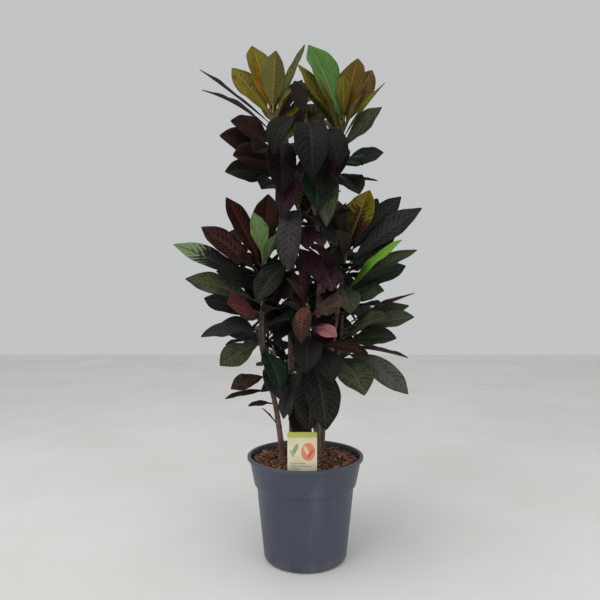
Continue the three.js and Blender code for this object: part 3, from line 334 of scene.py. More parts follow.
def below_tip(line, down):
    left = down
    for i in range(len(line) - 1, 0, -1):
        step = distance(line[i], line[i - 1])
        if left <= step:
            return [x + (y - x) * left / step for x, y in zip(line[i], line[i - 1])]
        left -= step
    return line[0]


def spine(leaf, s):
    """Places on the stalk and midrib at the distances s, with the ways to the side and the face."""
    s = np.asarray(s, float)
    whole = leaf["stalk"] + leaf["length"]
    slope = leaf["rise"] + leaf["bend"] * s / whole
    out = whole / leaf["bend"] * (np.sin(slope) - math.sin(leaf["rise"]))
    up = -whole / leaf["bend"] * (np.cos(slope) - math.cos(leaf["rise"]))
    c, q = math.cos(leaf["heading"]), math.sin(leaf["heading"])
    roll = leaf["roll"] + leaf["twist"] * s / whole
    side = np.stack([np.full_like(s, -q), np.full_like(s, c), np.zeros_like(s)], -1)
    face = np.stack([-np.sin(slope) * c, -np.sin(slope) * q, np.cos(slope)], -1)
    at = np.asarray(leaf["root"]) + np.stack([out * c, out * q, up], -1)
    cr, sr = np.cos(roll)[:, None], np.sin(roll)[:, None]
    return at, side * cr + face * sr, face * cr - side * sr


def outline(t):
    return np.clip(np.sin(math.pi * t**WIDEST), 0, None) ** BLUNT


def edge_phase(leaf, v):
    return np.where(v < 0, leaf["phase"], leaf["phase"] + 2)


def blade(leaf, t, v, half, lift):
    """The middle sheet of a blade, t along and v across it, and the way it faces."""
    at, side, face = spine(leaf, leaf["stalk"] + t * leaf["length"])
    half = half[:, None]
    wave = WAVE * 2 * half * v * v * np.sin(TAU * WAVES * t[:, None] + edge_phase(leaf, v))
    out = v * half * math.cos(leaf["fold"])
    up = np.abs(v) * half * math.sin(leaf["fold"]) + wave + lift
    return at[:, None] + side[:, None] * out[..., None] + face[:, None] * up[..., None], face[:, None]


def rule_leaf(shoot, k, random):
    age = k / (shoot["count"] - 1)

    def draw(spread):
        return (next(random) * 2 - 1) * spread

    down = shoot["gap"] * k + (shoot["reach"] - shoot["gap"] * (shoot["count"] - 1)) * age * age
    size = shoot["size"] * along(SIZE, age) * (1 + draw(SIZE_DRAW))
    from_back = (shoot["turn"] + k * GOLDEN_TURN + 90) % 360 - 180
    heading = 90 + from_back * (along(BACK_TURN, age) if shoot["placed"] else 1)
    leaf = dict(root=below_tip(shoot["line"], ROOT_INSET + down), down=down)
    leaf["heading"] = math.radians(heading + draw(TURN_DRAW))
    leaf["rise"] = math.radians(along(RISE, age) + shoot["lift"] + draw(RISE_DRAW))
    leaf["bend"] = math.radians(along(BEND, age) + draw(BEND_DRAW))
    leaf["stalk"] = along(STALK, age)
    leaf["length"] = BLADE_LENGTH * size
    leaf["width"] = BLADE_LENGTH * size * BLADE_SLENDERNESS * (1 + draw(WIDTH_DRAW))
    leaf["roll"] = math.radians(LEAN * math.cos(math.radians(heading)) + draw(ROLL_DRAW))
    leaf["twist"] = math.radians(draw(TWIST_DRAW))
    leaf["fold"] = math.radians(along(FOLD, age))
    leaf["phase"] = next(random) * TAU
    return leaf


def placed_leaf(shoot, entry, random):
    down, tip, width, bend, roll, tint = entry
    root = below_tip(shoot["line"], ROOT_INSET + down)
    dx, dy, dz = (a - b for a, b in zip(tip, root))
    half = math.radians(bend) / 2
    whole = math.sqrt(dx * dx + dy * dy + dz * dz) * half / math.sin(half)
    stalk = min(LONGEST_STALK, STALK_SHARE * whole)
    rise = math.atan2(dz, math.sqrt(dx * dx + dy * dy)) - half
    return dict(
        root=root, heading=math.atan2(dy, dx), rise=rise, bend=2 * half, stalk=stalk, length=whole - stalk,
        width=width, roll=math.radians(roll), twist=0.0, fold=math.radians(PLACED_FOLD),
        phase=next(random) * TAU, tint=tint, down=down,
    )


def varied(leaf, turn, rise, share):
    return dict(
        leaf, heading=leaf["heading"] + math.radians(turn), rise=leaf["rise"] + math.radians(rise),
        length=leaf["length"] * share, width=leaf["width"] * share,
    )


def body(lines, sheets, owner=None):
    lines, sheets = np.array(lines, float), np.array(sheets, float)
    points = np.concatenate([lines.reshape(-1, 3), sheets.reshape(-1, 3)])
    return dict(lines=lines, sheets=sheets, low=points.min(0), high=points.max(0), owner=owner)


def patches(*corners):
    """Lines or triangles between points that stand in the same rows and columns."""
    return np.stack(corners, -2).reshape(-1, len(corners), 3)


def body_of_leaf(leaf):
    lines, sheets = [], []
    t, v = np.array([0, *STATIONS, 1]), np.array([-EDGE_CLEARANCE, 0, EDGE_CLEARANCE])
    for lift in (-CLEARANCE, 0, CLEARANCE):
        rows = blade(leaf, t, v, leaf["width"] / 2 * outline(t), lift)[0]
        left, right = rows[:, :-1], rows[:, 1:]
        if lift == 0:
            lines += [*patches(rows[:-1], rows[1:]), *patches(left[1:-1], right[1:-1])]
        sheets += [*patches(left[1:-1], right[1:-1], right[2:]), *patches(left[:-2], right[1:-1], left[1:-1])]
    (start, end), *ways = spine(leaf, [min(8, leaf["stalk"] - 2), leaf["stalk"]])
    lines.append((start, end))
    for way in ways:
        a, b = (start + by * way[0] for by in (-STALK_CLEARANCE, STALK_CLEARANCE))
        c, d = (end + by * way[1] for by in (-STALK_CLEARANCE, STALK_CLEARANCE))
        lines += [(a, c), (b, d)]
        sheets += [(a, b, d), (a, d, c)]
    return body(lines, sheets)


def body_of_stem(shoot):
    """A four-sided tube round the stem, with its clearance."""
    whole, (foot, top) = length_of(shoot["line"]), shoot["thick"]
    count = max(3, math.floor(whole / RING_SPACING + 0.5))
    turns = TAU / 4 * np.arange(5)
    ring = np.stack([np.cos(turns), np.sin(turns), np.zeros(5)], -1)
    rings = []
    for i in range(count + 1):
        radius = foot + (top - foot) * (i / count) + STEM_CLEARANCE
        rings.append(below_tip(shoot["line"], whole * (1 - i / count)) + radius * ring)
    rings = np.array(rings)
    a, b, c, d = rings[:-1, :-1], rings[:-1, 1:], rings[1:, :-1], rings[1:, 1:]
    return body(patches(a, c), [*patches(a, b, d), *patches(a, d, c)], shoot["line"])


def body_of_label():
    dx, dy, dz = LABEL_CLEARANCE
    x0, x1 = LABEL_X - LABEL_WIDTH / 2 - dx, LABEL_X + LABEL_WIDTH / 2 + dx
    z0, z1 = LABEL_TOP_Z - LABEL_HEAD_HEIGHT, LABEL_TOP_Z + dz
    lines, sheets = [], []
    for y in (LABEL_Y - dy, LABEL_Y + dy):
        c = [(x0, y, z0), (x1, y, z0), (x1, y, z1), (x0, y, z1)]
        lines += [(c[i], c[(i + 1) % 4]) for i in range(4)]
        sheets += [(c[0], c[1], c[2]), (c[0], c[2], c[3])]
    return body(lines, sheets)


def cross(u, w):
    return u[1] * w[2] - u[2] * w[1], u[2] * w[0] - u[0] * w[2], u[0] * w[1] - u[1] * w[0]


def dot(u, w):
    return u[0] * w[0] + u[1] * w[1] + u[2] * w[2]


def any_cross(lines, sheets):
    """Whether any of the lines goes through any of the triangles."""
    p, end = (np.moveaxis(lines[:, i], -1, 0)[..., None] for i in range(2))
    a, b, c = (np.moveaxis(sheets[:, i], -1, 0)[:, None] for i in range(3))
    d, u, w, s = end - p, b - a, c - a, p - a
    h, g = cross(d, w), cross(s, u)
    det = dot(u, h)
    flat = np.abs(det) < 1e-9
    safe = np.where(flat, 1.0, det)
    m, n, t = dot(s, h) / safe, dot(d, g) / safe, dot(w, g) / safe
    return bool((~flat & (m >= 0) & (m <= 1) & (n >= 0) & (m + n <= 1) & (t >= 0) & (t <= 1)).any())


def grow_leaves():
    """Sets the listed leaves first, then the rest by rule, each where it is clear of the others."""
    shoots = [s for group in STEMS.values() for s in group]
    for s in shoots:
        s["line"], s["leaves"] = smooth_path(s["path"]), []
    bodies = [body_of_label(), *map(body_of_stem, shoots)]

    def put(shoot, wanted, free):
        for change in TRIES:
            leaf = varied(wanted, *change)
            x, y, z = spine(leaf, [leaf["stalk"] + leaf["length"]])[0][0]
            depth = y / BACK_DEPTH if y > 0 else y
            if free and math.sqrt(x * x + depth * depth) > along(REACH, z):
                continue
            made = body_of_leaf(leaf)
            if made["low"][2] < LOWEST_LEAF_Z:
                continue
            near = [
                o for o in bodies if o["owner"] is not shoot["line"]
                and (made["low"] <= o["high"]).all() and (o["low"] <= made["high"]).all()
            ]
            if near and (
                any_cross(made["lines"], np.concatenate([o["sheets"] for o in near]))
                or any_cross(np.concatenate([o["lines"] for o in near]), made["sheets"])
            ):
                continue
            shoot["leaves"].append(leaf)
            bodies.append(made)
            return

    for i, s in enumerate(shoots):
        random = random_from(*PLACED_SEEDS, i)
        for entry in s["placed"]:
            put(s, placed_leaf(s, entry, random), False)
    for i, s in enumerate(shoots):
        random, hue = random_from(*RULE_SEEDS, i), random_from(*HUE_SEEDS, i)
        for k in range(s["count"]):
            leaf = rule_leaf(s, k, random)
            age = leaf["down"] / HUE_REACH
            choices = next(names for share, names in HUES[s["hues"]] if age <= share or share == 1).split()
            leaf["tint"] = choices[int(next(hue) * len(choices)) % len(choices)]
            put(s, leaf, True)


grow_leaves()

# ---- Making meshes -------------------------------------------------------------------------------


class Build:
    """Gathers patches of mesh with their colours, in millimetres."""

    def __init__(self):
        self.points, self.faces, self.slots, self.values, self.size = [], [], [], {}, 0

    def add(self, points, faces, slot=0, **values):
        points = np.asarray(points, float).reshape(-1, 3)
        self.faces += [[i + self.size for i in f] for f in faces]
        self.slots += [slot] * len(faces)
        self.points.append(points)
        self.size += len(points)
        for name, value in values.items():
            value = np.broadcast_to(np.asarray(value, float), (len(points), 4))
            self.values.setdefault(name, []).append(value)

    def object(self, name, materials, smooth=True):
        mesh = bpy.data.meshes.new(name)
        points = np.concatenate(self.points) / 1000
        mesh.from_pydata(points.tolist(), [], self.faces)
        for material in materials:
            mesh.materials.append(material)
        mesh.polygons.foreach_set("material_index", self.slots)
        mesh.polygons.foreach_set("use_smooth", [smooth] * len(self.faces))
        for key, parts in self.values.items():
            layer = mesh.attributes.new(key, "FLOAT_COLOR", "POINT")
            layer.data.foreach_set("color", np.concatenate(parts).ravel())
        mesh.validate()
        mesh.update()
        made = bpy.data.objects.new(name, mesh)
        bpy.context.collection.objects.link(made)
        return made


def grid_faces(rows, columns, start=0, wrap=False, flip=False):
    faces = []
    for i in range(rows - 1):
        for j in range(columns if wrap else columns - 1):
            a, b = start + i * columns + j, start + i * columns + (j + 1) % columns
            f = [a, b, b + columns, a + columns]
            faces.append(f[::-1] if flip else f)
    return faces


def prism_faces(sides):
    return [list(range(sides))[::-1], list(range(sides, 2 * sides)), *grid_faces(2, sides, wrap=True)]


# ---- Materials -----------------------------------------------------------------------------------


class Shader:
    """A material and short ways to add its nodes."""

    def __init__(self, name):
        self.material = bpy.data.materials.new(name)
        self.material.use_nodes = True
        self.tree = self.material.node_tree
        self.main = self.tree.nodes["Principled BSDF"]
        self.colour = None

    def node(self, kind, inputs=(), **settings):
        made = self.tree.nodes.new(kind)
        for key, value in settings.items():
            setattr(made, key, value)
        for key, value in dict(inputs).items():
            self.set(made.inputs[key], value)
        return made

    def set(self, socket, value):
        if isinstance(value, bpy.types.NodeSocket):
            self.tree.links.new(value, socket)
        elif isinstance(value, tuple) and len(value) == 3 and socket.type == "RGBA":
            socket.default_value = (*value, 1)
        else:
            socket.default_value = value

    def math(self, operation, *values):
        made = self.node("ShaderNodeMath", operation=operation)
        for socket, value in zip(made.inputs, values):
            self.set(socket, value)
        return made.outputs[0]

    def times(self, a, b):
        return self.math("MULTIPLY", a, b)

    def times_add(self, a, b, c):
        return self.math("MULTIPLY_ADD", a, b, c)

    def minus(self, a, b):
        return self.math("SUBTRACT", a, b)

    def ramp(self, value, low, high, to_low=0.0, to_high=1.0):
        ends = {0: value, 1: low, 2: high, 3: to_low, 4: to_high}
        return self.node("ShaderNodeMapRange", ends, interpolation_type="SMOOTHSTEP").outputs[0]

    def mix(self, share, a, b):
        made = self.node("ShaderNodeMix", data_type="RGBA")
        self.set(made.inputs[0], share)
        self.set(made.inputs[6], a)
        self.set(made.inputs[7], b)
        return made.outputs[2]

    def paint(self, share, colour):
        self.colour = self.mix(share, self.colour, colour)

    def noise(self, vector, scale, detail=3.0, rough=0.55):
        inputs = {"Vector": vector, "Scale": scale, "Detail": detail, "Roughness": rough}
        return self.node("ShaderNodeTexNoise", inputs).outputs[0]

    def place(self):
        return self.node("ShaderNodeNewGeometry").outputs["Position"]

    def stretched(self, factors):
        made = self.node("ShaderNodeVectorMath", {0: self.place(), 1: factors}, operation="MULTIPLY")
        return made.outputs[0]

    def attribute(self, name):
        made = self.node("ShaderNodeAttribute", attribute_name=name)
        parts = self.node("ShaderNodeSeparateColor", {0: made.outputs["Color"]})
        return made.outputs["Color"], *parts.outputs, made.outputs["Alpha"]

    def bump(self, height, strength, distance):
        made = self.node("ShaderNodeBump", {"Height": height, "Strength": strength, "Distance": distance})
        self.set(self.main.inputs["Normal"], made.outputs[0])

    def finish(self, **inputs):
        for key, value in dict(Base_Color=self.colour, **inputs).items():
            self.set(self.main.inputs[key.replace("_", " ")], value)
        return self.material


SIDE_VEINS, PATCHINESS = 13.0, 3.2
TURNING_MARKS = 5200.0  # of the pot, round it, in radians a metre


def leaf_material():
    s = Shader("croton_leaf")
    tone, second, rib = (s.attribute(n)[0] for n in ("tone", "second", "rib"))
    _, t, across, seed, under = s.attribute("where")
    _, share, to_tip, to_edge, patchy = s.attribute("spread")
    v = s.times_add(across, 2.0, -1.0)
    a = s.math("ABSOLUTE", v)
    parts = {0: s.times(t, 3.0), 1: v, 2: s.times(seed, 90.0)}
    place = s.node("ShaderNodeCombineXYZ", parts).outputs[0]
    patches = s.noise(place, 2.2, 4.0, 0.6)
    # side veins leave the midrib in turn left and right, and sweep to the tip
    sweep = s.times_add(a, -0.1, s.times_add(s.times(a, a), -0.07, t))
    wobble = s.times_add(s.noise(place, 3.0, 1.0), 0.05, sweep)
    turn = s.times_add(wobble, SIDE_VEINS, s.times(s.math("GREATER_THAN", v, 0.0), 0.5))
    off = s.math("PINGPONG", turn, 0.5)
    veins = s.times(s.ramp(off, 0.03, 0.13, 1.0, 0.0), s.ramp(a, 0.75, 1.0, 1.0, 0.0))
    near = s.ramp(off, 0.05, 0.5, 1.0, 0.0)
    midrib = s.ramp(a, 0.035, 0.085, 1.0, 0.0)
    # the second colour
    spread = s.times_add(s.minus(t, 0.5), to_tip, share)
    spread = s.times_add(s.minus(a, 0.45), to_edge, spread)
    spread = s.times_add(s.times(s.minus(patches, 0.5), PATCHINESS), patchy, spread)
    spread = s.times_add(s.minus(near, 0.5), -0.45, spread)
    s.colour = s.mix(s.ramp(spread, 0.2, 0.8), tone, second)
    fine = s.noise(place, 26.0, 3.0)
    shade = s.mix(0.6, s.colour, (0.0, 0.0, 0.0))
    s.paint(s.times(s.ramp(fine, 0.35, 0.75), 0.35), shade)
    s.paint(s.times(veins, 0.42), rib)
    s.paint(s.times(midrib, 0.9), rib)
    edge = s.mix(0.5, rib, (0.02, 0.01, 0.01))
    s.paint(s.times(s.ramp(a, 0.955, 1.0), 0.5), edge)
    pale = s.mix(0.35, s.colour, (0.09, 0.07, 0.06))
    s.paint(under, pale)
    height = s.times_add(near, -0.5, s.times(fine, 0.12))
    height = s.times_add(veins, -0.5, height)
    height = s.times_add(s.noise(place, 7.0, 2.0), 0.5, height)
    s.bump(height, 0.55, 0.0009)
    rough = s.times_add(fine, 0.16, s.times_add(under, 0.22, 0.34))
    return s.finish(Roughness=rough, Specular_IOR_Level=0.05)


def stem_material():
    s = Shader("croton_stem")
    _, young, ring, _, _ = s.attribute("where")
    grain = s.noise(s.stretched((1.0, 1.0, 0.25)), 420.0, 4.0, 0.65)
    blotch = s.noise(s.place(), 60.0, 3.0)
    bark = s.mix(s.ramp(blotch, 0.35, 0.65), (0.205, 0.122, 0.098), (0.095, 0.058, 0.05))
    green = s.mix(s.ramp(blotch, 0.35, 0.65), (0.05, 0.05, 0.028), (0.035, 0.02, 0.022))
    s.colour = s.mix(s.ramp(young, 0.35, 0.8), bark, green)
    s.paint(s.times(s.ramp(grain, 0.45, 0.7), 0.5), (0.03, 0.02, 0.016))
    s.paint(s.times(s.ramp(ring, 0.3, 0.9), 0.5), (0.17, 0.12, 0.095))
    s.bump(s.times_add(ring, 0.6, grain), 0.6, 0.0008)
    return s.finish(Roughness=0.62, Specular_IOR_Level=0.4)


def pot_material():
    s = Shader("pot_plastic")
    place = s.place()
    z = s.node("ShaderNodeSeparateXYZ", {0: place}).outputs["Z"]
    broad = s.noise(place, 9.0, 3.0)
    grain = s.noise(place, 900.0, 2.0)
    smear = s.noise(s.stretched((14.0, 14.0, 3.0)), 2.0, 4.0, 0.6)
    s.colour = s.mix(s.ramp(broad, 0.3, 0.7), (0.050, 0.060, 0.092), (0.062, 0.072, 0.108))
    s.paint(s.times(s.ramp(smear, 0.52, 0.74), 0.3), (0.14, 0.16, 0.19))
    dust = s.times(s.ramp(z, 0.03, 0.0), s.ramp(smear, 0.35, 0.65))
    s.paint(s.times(dust, 0.35), (0.22, 0.2, 0.18))
    # painted highlight: the top of the rim is painted lighter and bluer in patches, for light falling on it
    lip = s.times(s.ramp(z, 0.1935, 0.1965), s.ramp(smear, 0.4, 0.7))
    s.paint(s.times(lip, 0.25), (0.19, 0.22, 0.27))
    rings = s.math("SINE", s.times(z, TURNING_MARKS))
    s.bump(s.times_add(rings, 0.05, grain), 0.25, 0.0003)
    rough = s.times_add(s.ramp(smear, 0.4, 0.7), 0.1, 0.4)
    return s.finish(Roughness=rough, Specular_IOR_Level=0.45)


def soil_material():
    s = Shader("bark_compost")
    grid = {"Vector": s.place(), "Scale": 170.0, "Randomness": 1.0}
    cells = s.node("ShaderNodeTexVoronoi", grid, feature="F1")
    random = s.node("ShaderNodeSeparateColor", {0: cells.outputs["Color"]}).outputs[0]
    fibre = s.noise(s.stretched((1.0, 3.0, 1.0)), 300.0, 4.0, 0.7)
    s.colour = s.mix(random, (0.35, 0.135, 0.083), (0.125, 0.048, 0.035))
    s.paint(s.times(s.ramp(fibre, 0.5, 0.75), 0.6), (0.30, 0.15, 0.09))
    # painted shade: near black towards the edge of each cell, in the crevices between the crumbs
    s.paint(s.ramp(cells.outputs["Distance"], 0.35, 0.75), (0.012, 0.007, 0.006))
    s.bump(s.times_add(cells.outputs["Distance"], -1.6, fibre), 0.9, 0.0025)
    return s.finish(Roughness=0.9, Specular_IOR_Level=0.25)


def chip_material():
    s = Shader("bark_chips")
    tone = s.attribute("tone")[0]
    grain = s.noise(s.stretched((1.0, 2.5, 1.0)), 500.0, 4.0, 0.7)
    s.colour = s.mix(s.times(s.ramp(grain, 0.4, 0.7), 0.6), tone, (0.03, 0.014, 0.01))
    s.bump(grain, 0.7, 0.0008)
    return s.finish(Roughness=0.82, Specular_IOR_Level=0.3)


def label_material():
    """Generic printing: a leafy band, a coral roundel with a plain leaf in it, and bars."""
    s = Shader("label_print")
    x, _, z = s.node("ShaderNodeSeparateXYZ", {0: s.place()}).outputs
    u = s.times_add(x, 1000 / LABEL_WIDTH, 0.5 - LABEL_X / LABEL_WIDTH)
    w = s.times_add(z, 1000 / LABEL_HEAD_HEIGHT, 1 - LABEL_TOP_Z / LABEL_HEAD_HEIGHT)

    def band(value, low, high, soft=0.01):
        rising = s.ramp(value, low - soft, low + soft)
        return s.times(rising, s.ramp(value, high - soft, high + soft, 1.0, 0.0))

    def box(u0, u1, w0, w1):
        return s.times(band(u, u0, u1), band(w, w0, w1))

    def oval(cu, cw, ru, rw, turn=0.0, soft=0.06):
        du = s.minus(u, cu)
        dw = s.times(s.minus(w, cw), LABEL_HEAD_HEIGHT / LABEL_WIDTH)
        c, q = math.cos(turn), math.sin(turn)
        a = s.math("DIVIDE", s.times_add(du, c, s.times(dw, q)), ru)
        b = s.math("DIVIDE", s.times_add(dw, c, s.times(du, -q)), rw)
        return s.ramp(s.times_add(a, a, s.times(b, b)), 1 - soft, 1 + soft, 1.0, 0.0)

    cloud = s.noise(s.place(), 60.0, 3.0)
    s.colour = s.mix(s.ramp(cloud, 0.35, 0.7), (0.86, 0.80, 0.58), (0.80, 0.70, 0.46))
    s.paint(box(-0.1, 1.1, 0.86, 1.1), (0.52, 0.56, 0.10))
    s.paint(box(-0.1, 1.1, 0.835, 0.862), (0.80, 0.74, 0.30))
    s.paint(oval(0.70, 0.50, 0.24, 0.30), (0.83, 0.27, 0.15))
    s.paint(oval(0.64, 0.53, 0.06, 0.19, 0.5), (0.90, 0.62, 0.40))
    s.paint(oval(0.78, 0.46, 0.05, 0.17, -0.6), (0.62, 0.12, 0.08))
    s.paint(oval(0.26, 0.56, 0.07, 0.20, -0.45), (0.30, 0.38, 0.20))
    s.paint(oval(0.16, 0.46, 0.05, 0.14, 0.5), (0.42, 0.48, 0.30))
    for w0, u1 in ((0.19, 0.62), (0.12, 0.80), (0.05, 0.48)):
        s.paint(s.times(box(0.10, u1, w0, w0 + 0.03), 0.7), (0.33, 0.36, 0.28))
    head = s.ramp(w, -0.01, 0.0)
    s.colour = s.mix(head, (0.80, 0.76, 0.60), s.colour)
    s.bump(s.noise(s.place(), 700.0, 2.0), 0.1, 0.0002)
    return s.finish(Roughness=0.33, Coat_Weight=0.3)


def floor_material():
    s = Shader("pale_floor")
    place = s.place()
    broad = s.noise(place, 2.5, 4.0)
    s.colour = s.mix(s.ramp(broad, 0.3, 0.7), (0.83, 0.81, 0.775), (0.88, 0.865, 0.84))
    s.bump(s.noise(place, 350.0, 3.0), 0.08, 0.0004)
    return s.finish(Roughness=0.6, Specular_IOR_Level=0.3)


# ---- Camera, first -------------------------------------------------------------------------------

CAMERA_PLACE = (-0.0106, -1.1, 0.507)
SENSOR_WIDTH, FOCAL_LENGTH = 36, 33.12

camera = bpy.data.objects.new("camera", bpy.data.cameras.new("camera"))
bpy.context.collection.objects.link(camera)
camera.location = CAMERA_PLACE
camera.rotation_euler = (math.pi / 2, 0, 0)
camera.data.sensor_width = SENSOR_WIDTH
camera.data.lens = FOCAL_LENGTH
bpy.context.scene.camera = camera

# ---- Pot -----------------------------------------------------------------------------------------

POT_SIDES, DRAIN_SIDES = 144, 24
MERGE_DISTANCE, SHARP_ANGLE = 0.00001, 38  # in metres and in degrees


def arc(radius, z, size, start, end, steps):
    turns = [math.radians(start + (end - start) * i / steps) for i in range(steps + 1)]
    return [(radius + size * math.cos(a), z + size * math.sin(a)) for a in turns]


def inner_radius(z):
    def between(a, b):
        return a[0] + (b[0] - a[0]) * (z - a[1]) / (b[1] - a[1])

    low, step = (BODY_FOOT_RADIUS - 1 - WALL, BASE_CORNER), (BODY_TOP_RADIUS - WALL, COLLAR_FOOT_Z - 4)
    ledge, top = (COLLAR_FOOT_RADIUS - WALL, COLLAR_FOOT_Z + 1), (COLLAR_TOP_RADIUS - WALL, POT_HEIGHT)
    if z > ledge[1]:
        return between(ledge, top)
    return between(step, ledge) if z > step[1] else between(low, step)


def steps_between(a, b, steps):
    """Points on the way from a to b, without a itself."""
    return [[p + (q - p) * i / steps for p, q in zip(a, b)] for i in range(1, steps + 1)]


def pot_profile():
    foot, top, lip = BODY_FOOT_RADIUS - 1, POT_HEIGHT, POT_HEIGHT - RIM_LIP_HEIGHT
    collar, body, ledge, step = COLLAR_TOP_RADIUS, BODY_TOP_RADIUS, COLLAR_FOOT_RADIUS, COLLAR_FOOT_Z
    outer = [
        (0, 0.0), (54, 0.0), (68, 0.0), *arc(foot - BASE_CORNER, BASE_CORNER, BASE_CORNER, -90, -4, 8),
        *steps_between((foot, BASE_CORNER), (body, step - 9), 6)[:-1],
        (body - 0.1, step - 6), (body + 0.4, step - 4.6),
        (ledge - 1.2, step - 1.2), (ledge - 0.2, step - 0.2), (ledge + 0.15, step + 1.2),
        *steps_between((ledge, step), (collar, top - 7), 4),
        (collar + 0.9, lip - 0.1), (RIM_RADIUS - 0.6, lip + 0.4), (RIM_RADIUS, lip + 1.2),
        (RIM_RADIUS, top - 1.8), *arc(RIM_RADIUS - 1.5, top - 1.5, 1.5, 10, 90, 4),
    ]
    inner = [
        (collar - WALL + 0.8, top), *arc(collar - WALL + 0.8, top - 0.8, 0.8, 100, 180, 3),
        (inner_radius(top - 12), top - 12), (ledge - WALL, step + 1), (body - WALL, step - 4),
        (foot - WALL, BASE_CORNER + 0.8), (foot - WALL - 3, WALL + 2.5), (foot - WALL - 8, WALL + 0.8),
        (0, WALL + 0.8),
    ]
    return outer + inner


def drain_cutter():
    cutters, n = Build(), DRAIN_SIDES
    for i in range(DRAIN_HOLES):
        a = TAU * (i + 0.5) / DRAIN_HOLES
        cx, cy = DRAIN_RING * math.cos(a), DRAIN_RING * math.sin(a)
        turns = [TAU * k / n for k in range(n)]
        ring = [(cx + DRAIN_RADIUS * math.cos(b), cy + DRAIN_RADIUS * math.sin(b)) for b in turns]
        cutters.add([(x, y, z) for z in DRAIN_CUT for x, y in ring], prism_faces(n))
    return cutters.object("drain_cutter", [], smooth=False)


def make_pot():
    profile = pot_profile()
    turns = np.arange(POT_SIDES) * TAU / POT_SIDES
    build = Build()
    points = [(r * math.cos(a), r * math.sin(a), z) for r, z in profile for a in turns]
    build.add(points, grid_faces(len(profile), POT_SIDES, wrap=True))
    pot = build.object("pot_shell", [pot_material()])
    pot.modifiers.new("merge", "WELD").merge_threshold = MERGE_DISTANCE
    cutter = drain_cutter()
    cut = pot.modifiers.new("drains", "BOOLEAN")
    cut.object, cut.operation, cut.solver = cutter, "DIFFERENCE", "EXACT"
    apply_modifiers(pot)
    bpy.data.objects.remove(cutter)
    return pot


def apply_modifiers(made):
    graph = bpy.context.evaluated_depsgraph_get()
    shaped = made.evaluated_get(graph)
    mesh = bpy.data.meshes.new_from_object(shaped, preserve_all_data_layers=True, depsgraph=graph)
    old = made.data
    made.modifiers.clear()
    made.data = mesh
    bpy.data.meshes.remove(old)


pot = make_pot()
pot.data.set_sharp_from_angle(angle=math.radians(SHARP_ANGLE))
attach(pot, "root")
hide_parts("pot")

# ---- Compost -------------------------------------------------------------------------------------

SOIL_SIDES, SOIL_ROWS = 120, 44
SOIL_FOOT_Z, SKIRT_BEND_Z = 4, 12
EDGE_GAP, SKIRT_GAP, FOOT_GAP = 0.5, 0.7, 1.2  # from the pot's wall
CHIPS, CHIP_TILT = 620, 0.9
CHIP_LENGTH, CHIP_WIDTH, CHIP_HEIGHT = (2.5, 6.5), (1.4, 2.6), (0.7, 1.2)  # the least, and the range
CHIP_SIDES, STEM_GAP, LABEL_GAP, WALL_GAP = 6, 11, (34, 8), 1
CHIP_TONES = (
    (0.38, 0.18, 0.11), (0.21, 0.088, 0.055), (0.48, 0.29, 0.19), (0.11, 0.052, 0.04), (0.32, 0.12, 0.075),
)


def lumps(x, y):
    large = 0.5 * math.sin(0.21 * x + 1.3) * math.cos(0.17 * y)
    middle = 0.35 * math.sin(0.43 * y + 0.29 * x)
    return LUMP * (large + middle + 0.3 * math.cos(0.61 * x - 0.37 * y + 2.1))


def crumbs(x, y):
    large = 0.9 * math.sin(0.9 * x + 2.3 * math.sin(0.5 * y)) * math.cos(1.1 * y + 1.7 * math.sin(0.4 * x))
    return large + 0.5 * math.sin(2.1 * x + 1.3 * y)


def soil_height(x, y):
    share = 1 - math.hypot(x, y) / inner_radius(SOIL_Z)
    return SOIL_Z + SOIL_MOUND * math.sqrt(max(share, 0)) + lumps(x, y)


def make_soil():
    """The top of the compost with a finer relief, and a skirt down inside the pot."""
    build = Build()
    sides, rows = SOIL_SIDES, SOIL_ROWS
    turns = np.arange(sides) * TAU / sides
    edge = inner_radius(SOIL_Z) - EDGE_GAP
    low, high = COLLAR_FOOT_Z - 5, COLLAR_FOOT_Z + 2
    skirt = [
        (SOIL_FOOT_Z, BODY_FOOT_RADIUS - WALL - BASE_CORNER),
        (SKIRT_BEND_Z, inner_radius(SKIRT_BEND_Z) - FOOT_GAP),
        (low, inner_radius(low) - SKIRT_GAP), (high, inner_radius(high) - SKIRT_GAP),
    ]
    points = [(r * math.cos(a), r * math.sin(a), z) for z, r in skirt for a in turns]
    for i in range(rows):
        r = edge * (1 - (i / rows) ** 1.05)
        for a in turns:
            x, y = r * math.cos(a), r * math.sin(a)
            points.append((x, y, soil_height(x, y) + crumbs(x, y) * min(1, 4 * i / rows)))
    count = len(skirt) + rows
    faces = grid_faces(count, sides, wrap=True)
    faces.append(list(range(sides))[::-1])
    last = (count - 1) * sides
    faces += [[last + j, last + (j + 1) % sides, count * sides] for j in range(sides)]
    build.add([*points, (0, 0, soil_height(0, 0))], faces)
    return build.object("compost", [soil_material()])


def free_for_chip(x, y, long, feet):
    """Whether a chip is clear of the stems, the label and the wall."""
    by_stem = any(math.hypot(x - f[0], y - f[1]) < STEM_GAP + long for f in feet)
    by_label = abs(x - LABEL_X) < LABEL_GAP[0] and abs(y - LABEL_Y) < LABEL_GAP[1] + long
    return not by_stem and not by_label and math.hypot(x, y) + long <= inner_radius(SOIL_Z) - WALL_GAP


def tipped(points, x, y, z, turn, tilt, roll):
    """The points rolled, tilted and turned, then moved to x, y, z."""
    placed = []
    for px, py, pz in points:
        px, pz = px * math.cos(tilt) + pz * math.sin(tilt), pz * math.cos(tilt) - px * math.sin(tilt)
        py, pz = py * math.cos(roll) + pz * math.sin(roll), pz * math.cos(roll) - py * math.sin(roll)
        c, q = math.cos(turn), math.sin(turn)
        placed.append((x + px * c - py * q, y + px * q + py * c, z + pz))
    return placed


